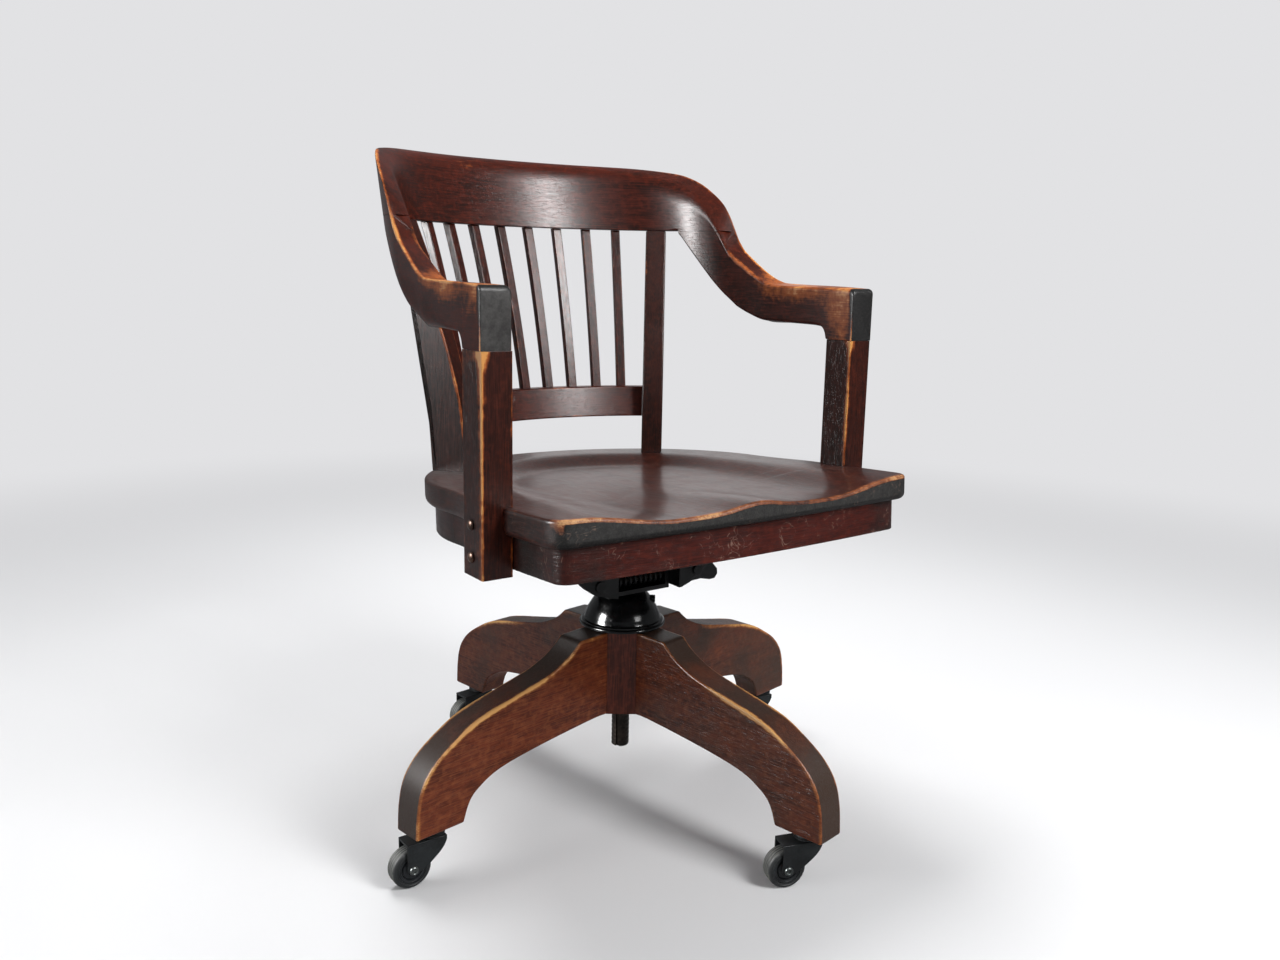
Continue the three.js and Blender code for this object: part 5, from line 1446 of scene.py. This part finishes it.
# Slats: eight slim square bars, tenoned into the rail and the crest, that fan out a little and
# are sprung forward in the middle. Bare wood shows along the front edges of some.
slat_wood = varnished(
    "slat_mahogany",
    deep=(29, 9, 6), body=(58, 18, 9), warm=(92, 32, 15),
    thin=(140, 78, 42), bare=(196, 136, 78), grime_and_shade=(40, 30, 26),
)
slat_count = 8
slat_width = 0.0134
slat_depth = 0.012
slat_pitch = math.radians(8.1)
slat_rail_pitch = math.radians(6.75)
slat_bow = 0.004
slat_edge = 0.0012
slat_grain_step = 0.3
slat_fade = 0.002
section, near = eased_section(slat_width, slat_depth, slat_edge, slat_fade)
share = np.linspace(0, 1, 50)[:, None]
slat_z = rail_high + clearance + (scarf_height - rail_high - 2 * clearance) * share
for number in range(slat_count):
    place = number - (slat_count - 1) / 2
    angle = place * (slat_rail_pitch + (slat_pitch - slat_rail_pitch) * share)
    reach = bow_radius - 4 * slat_bow * share * (1 - share) + section[:, 1]
    x = reach * np.sin(angle) + section[:, 0] * np.cos(angle)
    y = bow_centre + reach * np.cos(angle) - section[:, 0] * np.sin(angle)
    grid = points_at(x + axis_x, y + bow_lean * (slat_z - scarf_height), slat_z)
    grain = points_at(section[:, 0] + number * slat_grain_step, section[:, 1], slat_z)
    worn = near * np.where(section[:, 1] < 0, 0.3, 0.1)
    node = "slat_" + str(number + 1)
    slat_shell = shell(grid, grain=grain, worn=worn, dark=clean_dark)
    piece(node, [slat_shell], slat_wood)

# Studio: a plain pale floor that fades into the backdrop and is dimmer where the varnish mirrors
# it, soft lamps, and the camera at the photograph's place.
floor_reach = 12.0
floor_middle = 0.001
floor_rings = 24
floor_steps = 64
backdrop_start = 1.1
backdrop_end = 3.2
fill_strength = 0.27
backdrop = shades(226, 226, 228)
floor = Finish("pale_floor", {"Roughness": 0.9})
centre_distance = floor.node("ShaderNodeVectorMath", {"operation": "LENGTH"}, {0: floor.place()}, 1)
glow = floor.node("ShaderNodeEmission", {}, {"Color": backdrop, "Strength": 1.0})
in_varnish = floor.node("ShaderNodeLightPath", {}, {}, "Is Glossy Ray")
floor_tone = floor.mixed(in_varnish, shades(234, 234, 235), shades(150, 150, 152))
floor.put(floor.shader.inputs["Base Color"], floor_tone)
lit = Value(floor, floor.shader.outputs[0])
far_off = centre_distance.between(backdrop_start, backdrop_end)
faded = far_off * floor.node("ShaderNodeLightPath", {}, {}, "Is Camera Ray")
shown = floor.node("ShaderNodeMixShader", {}, {0: faded, 1: lit, 2: glow})
floor.tree.links.new(shown.socket, floor.tree.nodes["Material Output"].inputs["Surface"])
floor_radii = np.linspace(floor_middle, floor_reach, floor_rings)
disc = turned(np.column_stack([floor_radii, np.zeros(floor_rings)]), floor_steps)
floor_mesh = bpy.data.meshes.new("floor")
ring = np.arange(floor_rings - 1)[:, None] * floor_steps
near = np.arange(floor_steps)[None, :]
after = (near + 1) % floor_steps
quads = np.stack([ring + near, ring + floor_steps + near, ring + floor_steps + after, ring + after], -1)
faces = [list(range(floor_steps)), *quads.reshape(-1, 4).tolist()]
floor_mesh.from_pydata(disc.reshape(-1, 3), [], faces)
floor_mesh.materials.append(floor.material)
floor_object = bpy.data.objects.new("floor", floor_mesh)
bpy.context.scene.collection.objects.link(floor_object)

world = bpy.data.worlds.new("studio")
bpy.context.scene.world = world
world.use_nodes = True
sky = world.node_tree
seen = sky.nodes.new("ShaderNodeBackground")
seen.inputs["Color"].default_value = backdrop
seen.inputs["Strength"].default_value = 1.0
fill = sky.nodes["Background"]
fill.inputs["Color"].default_value = shades(236, 238, 242)
fill.inputs["Strength"].default_value = fill_strength
path = sky.nodes.new("ShaderNodeLightPath")
which = sky.nodes.new("ShaderNodeMixShader")
sky.links.new(path.outputs["Is Camera Ray"], which.inputs[0])
sky.links.new(fill.outputs[0], which.inputs[1])
sky.links.new(seen.outputs[0], which.inputs[2])
sky.links.new(which.outputs[0], sky.nodes["World Output"].inputs["Surface"])


def lamp(name, place, aim, width, height, power, lights=True, shines=True):
    """A soft box at a place, facing a point. It may only light surfaces or only shine in them."""
    light = bpy.data.lights.new(name, "AREA")
    made = bpy.data.objects.new(name, light)
    light.shape = "RECTANGLE"
    light.size = width
    light.size_y = height
    light.energy = power
    made.visible_camera = False
    made.visible_diffuse = lights
    made.visible_glossy = shines
    made.location = place
    made.rotation_mode = "QUATERNION"
    made.rotation_quaternion = (Vector(aim) - Vector(place)).to_track_quat("-Z", "Y")
    bpy.context.scene.collection.objects.link(made)


lamp("key", (0.7, -2.1, 2.1), (0, 0, 0.5), 0.9, 1.4, 56)
lamp("window", (0.68, -2.15, 2.35), (0, 0, 0.5), 0.42, 1.25, 130, lights=False)
lamp("side", (-1.9, -0.52, 1.7), (0, 0, 0.6), 0.6, 0.6, 2)
lamp("west window", (-2.1, 0.4, 1.3), (0.24, 0.17, 0.8), 0.7, 0.9, 210, lights=False)
lamp("top", (0.1, 0.9, 2.6), (0, 0, 0.6), 1.2, 1.2, 54, shines=False)
lamp("behind", (1.5, 1.9, 0.8), (0, 0, 0.5), 1.0, 1.0, 2.4)

camera_place = (-0.81458, -1.1819, 0.736)
camera_heading = 0.6226
camera_pitch = 0.1911
camera_roll = 0.0206
camera_sensor = 36
camera_lens = 30.25
camera = bpy.data.cameras.new("camera")
camera.sensor_width = camera_sensor
camera.lens = camera_lens
camera_object = bpy.data.objects.new("camera", camera)
turn = Matrix.Rotation(-camera_heading, 4, "Z") @ Matrix.Rotation(math.pi / 2 - camera_pitch, 4, "X")
turn = turn @ Matrix.Rotation(camera_roll, 4, "Z")
camera_object.matrix_world = Matrix.Translation(camera_place) @ turn
bpy.context.scene.collection.objects.link(camera_object)
bpy.context.scene.camera = camera_object
bpy.context.scene.view_settings.view_transform = "Standard"
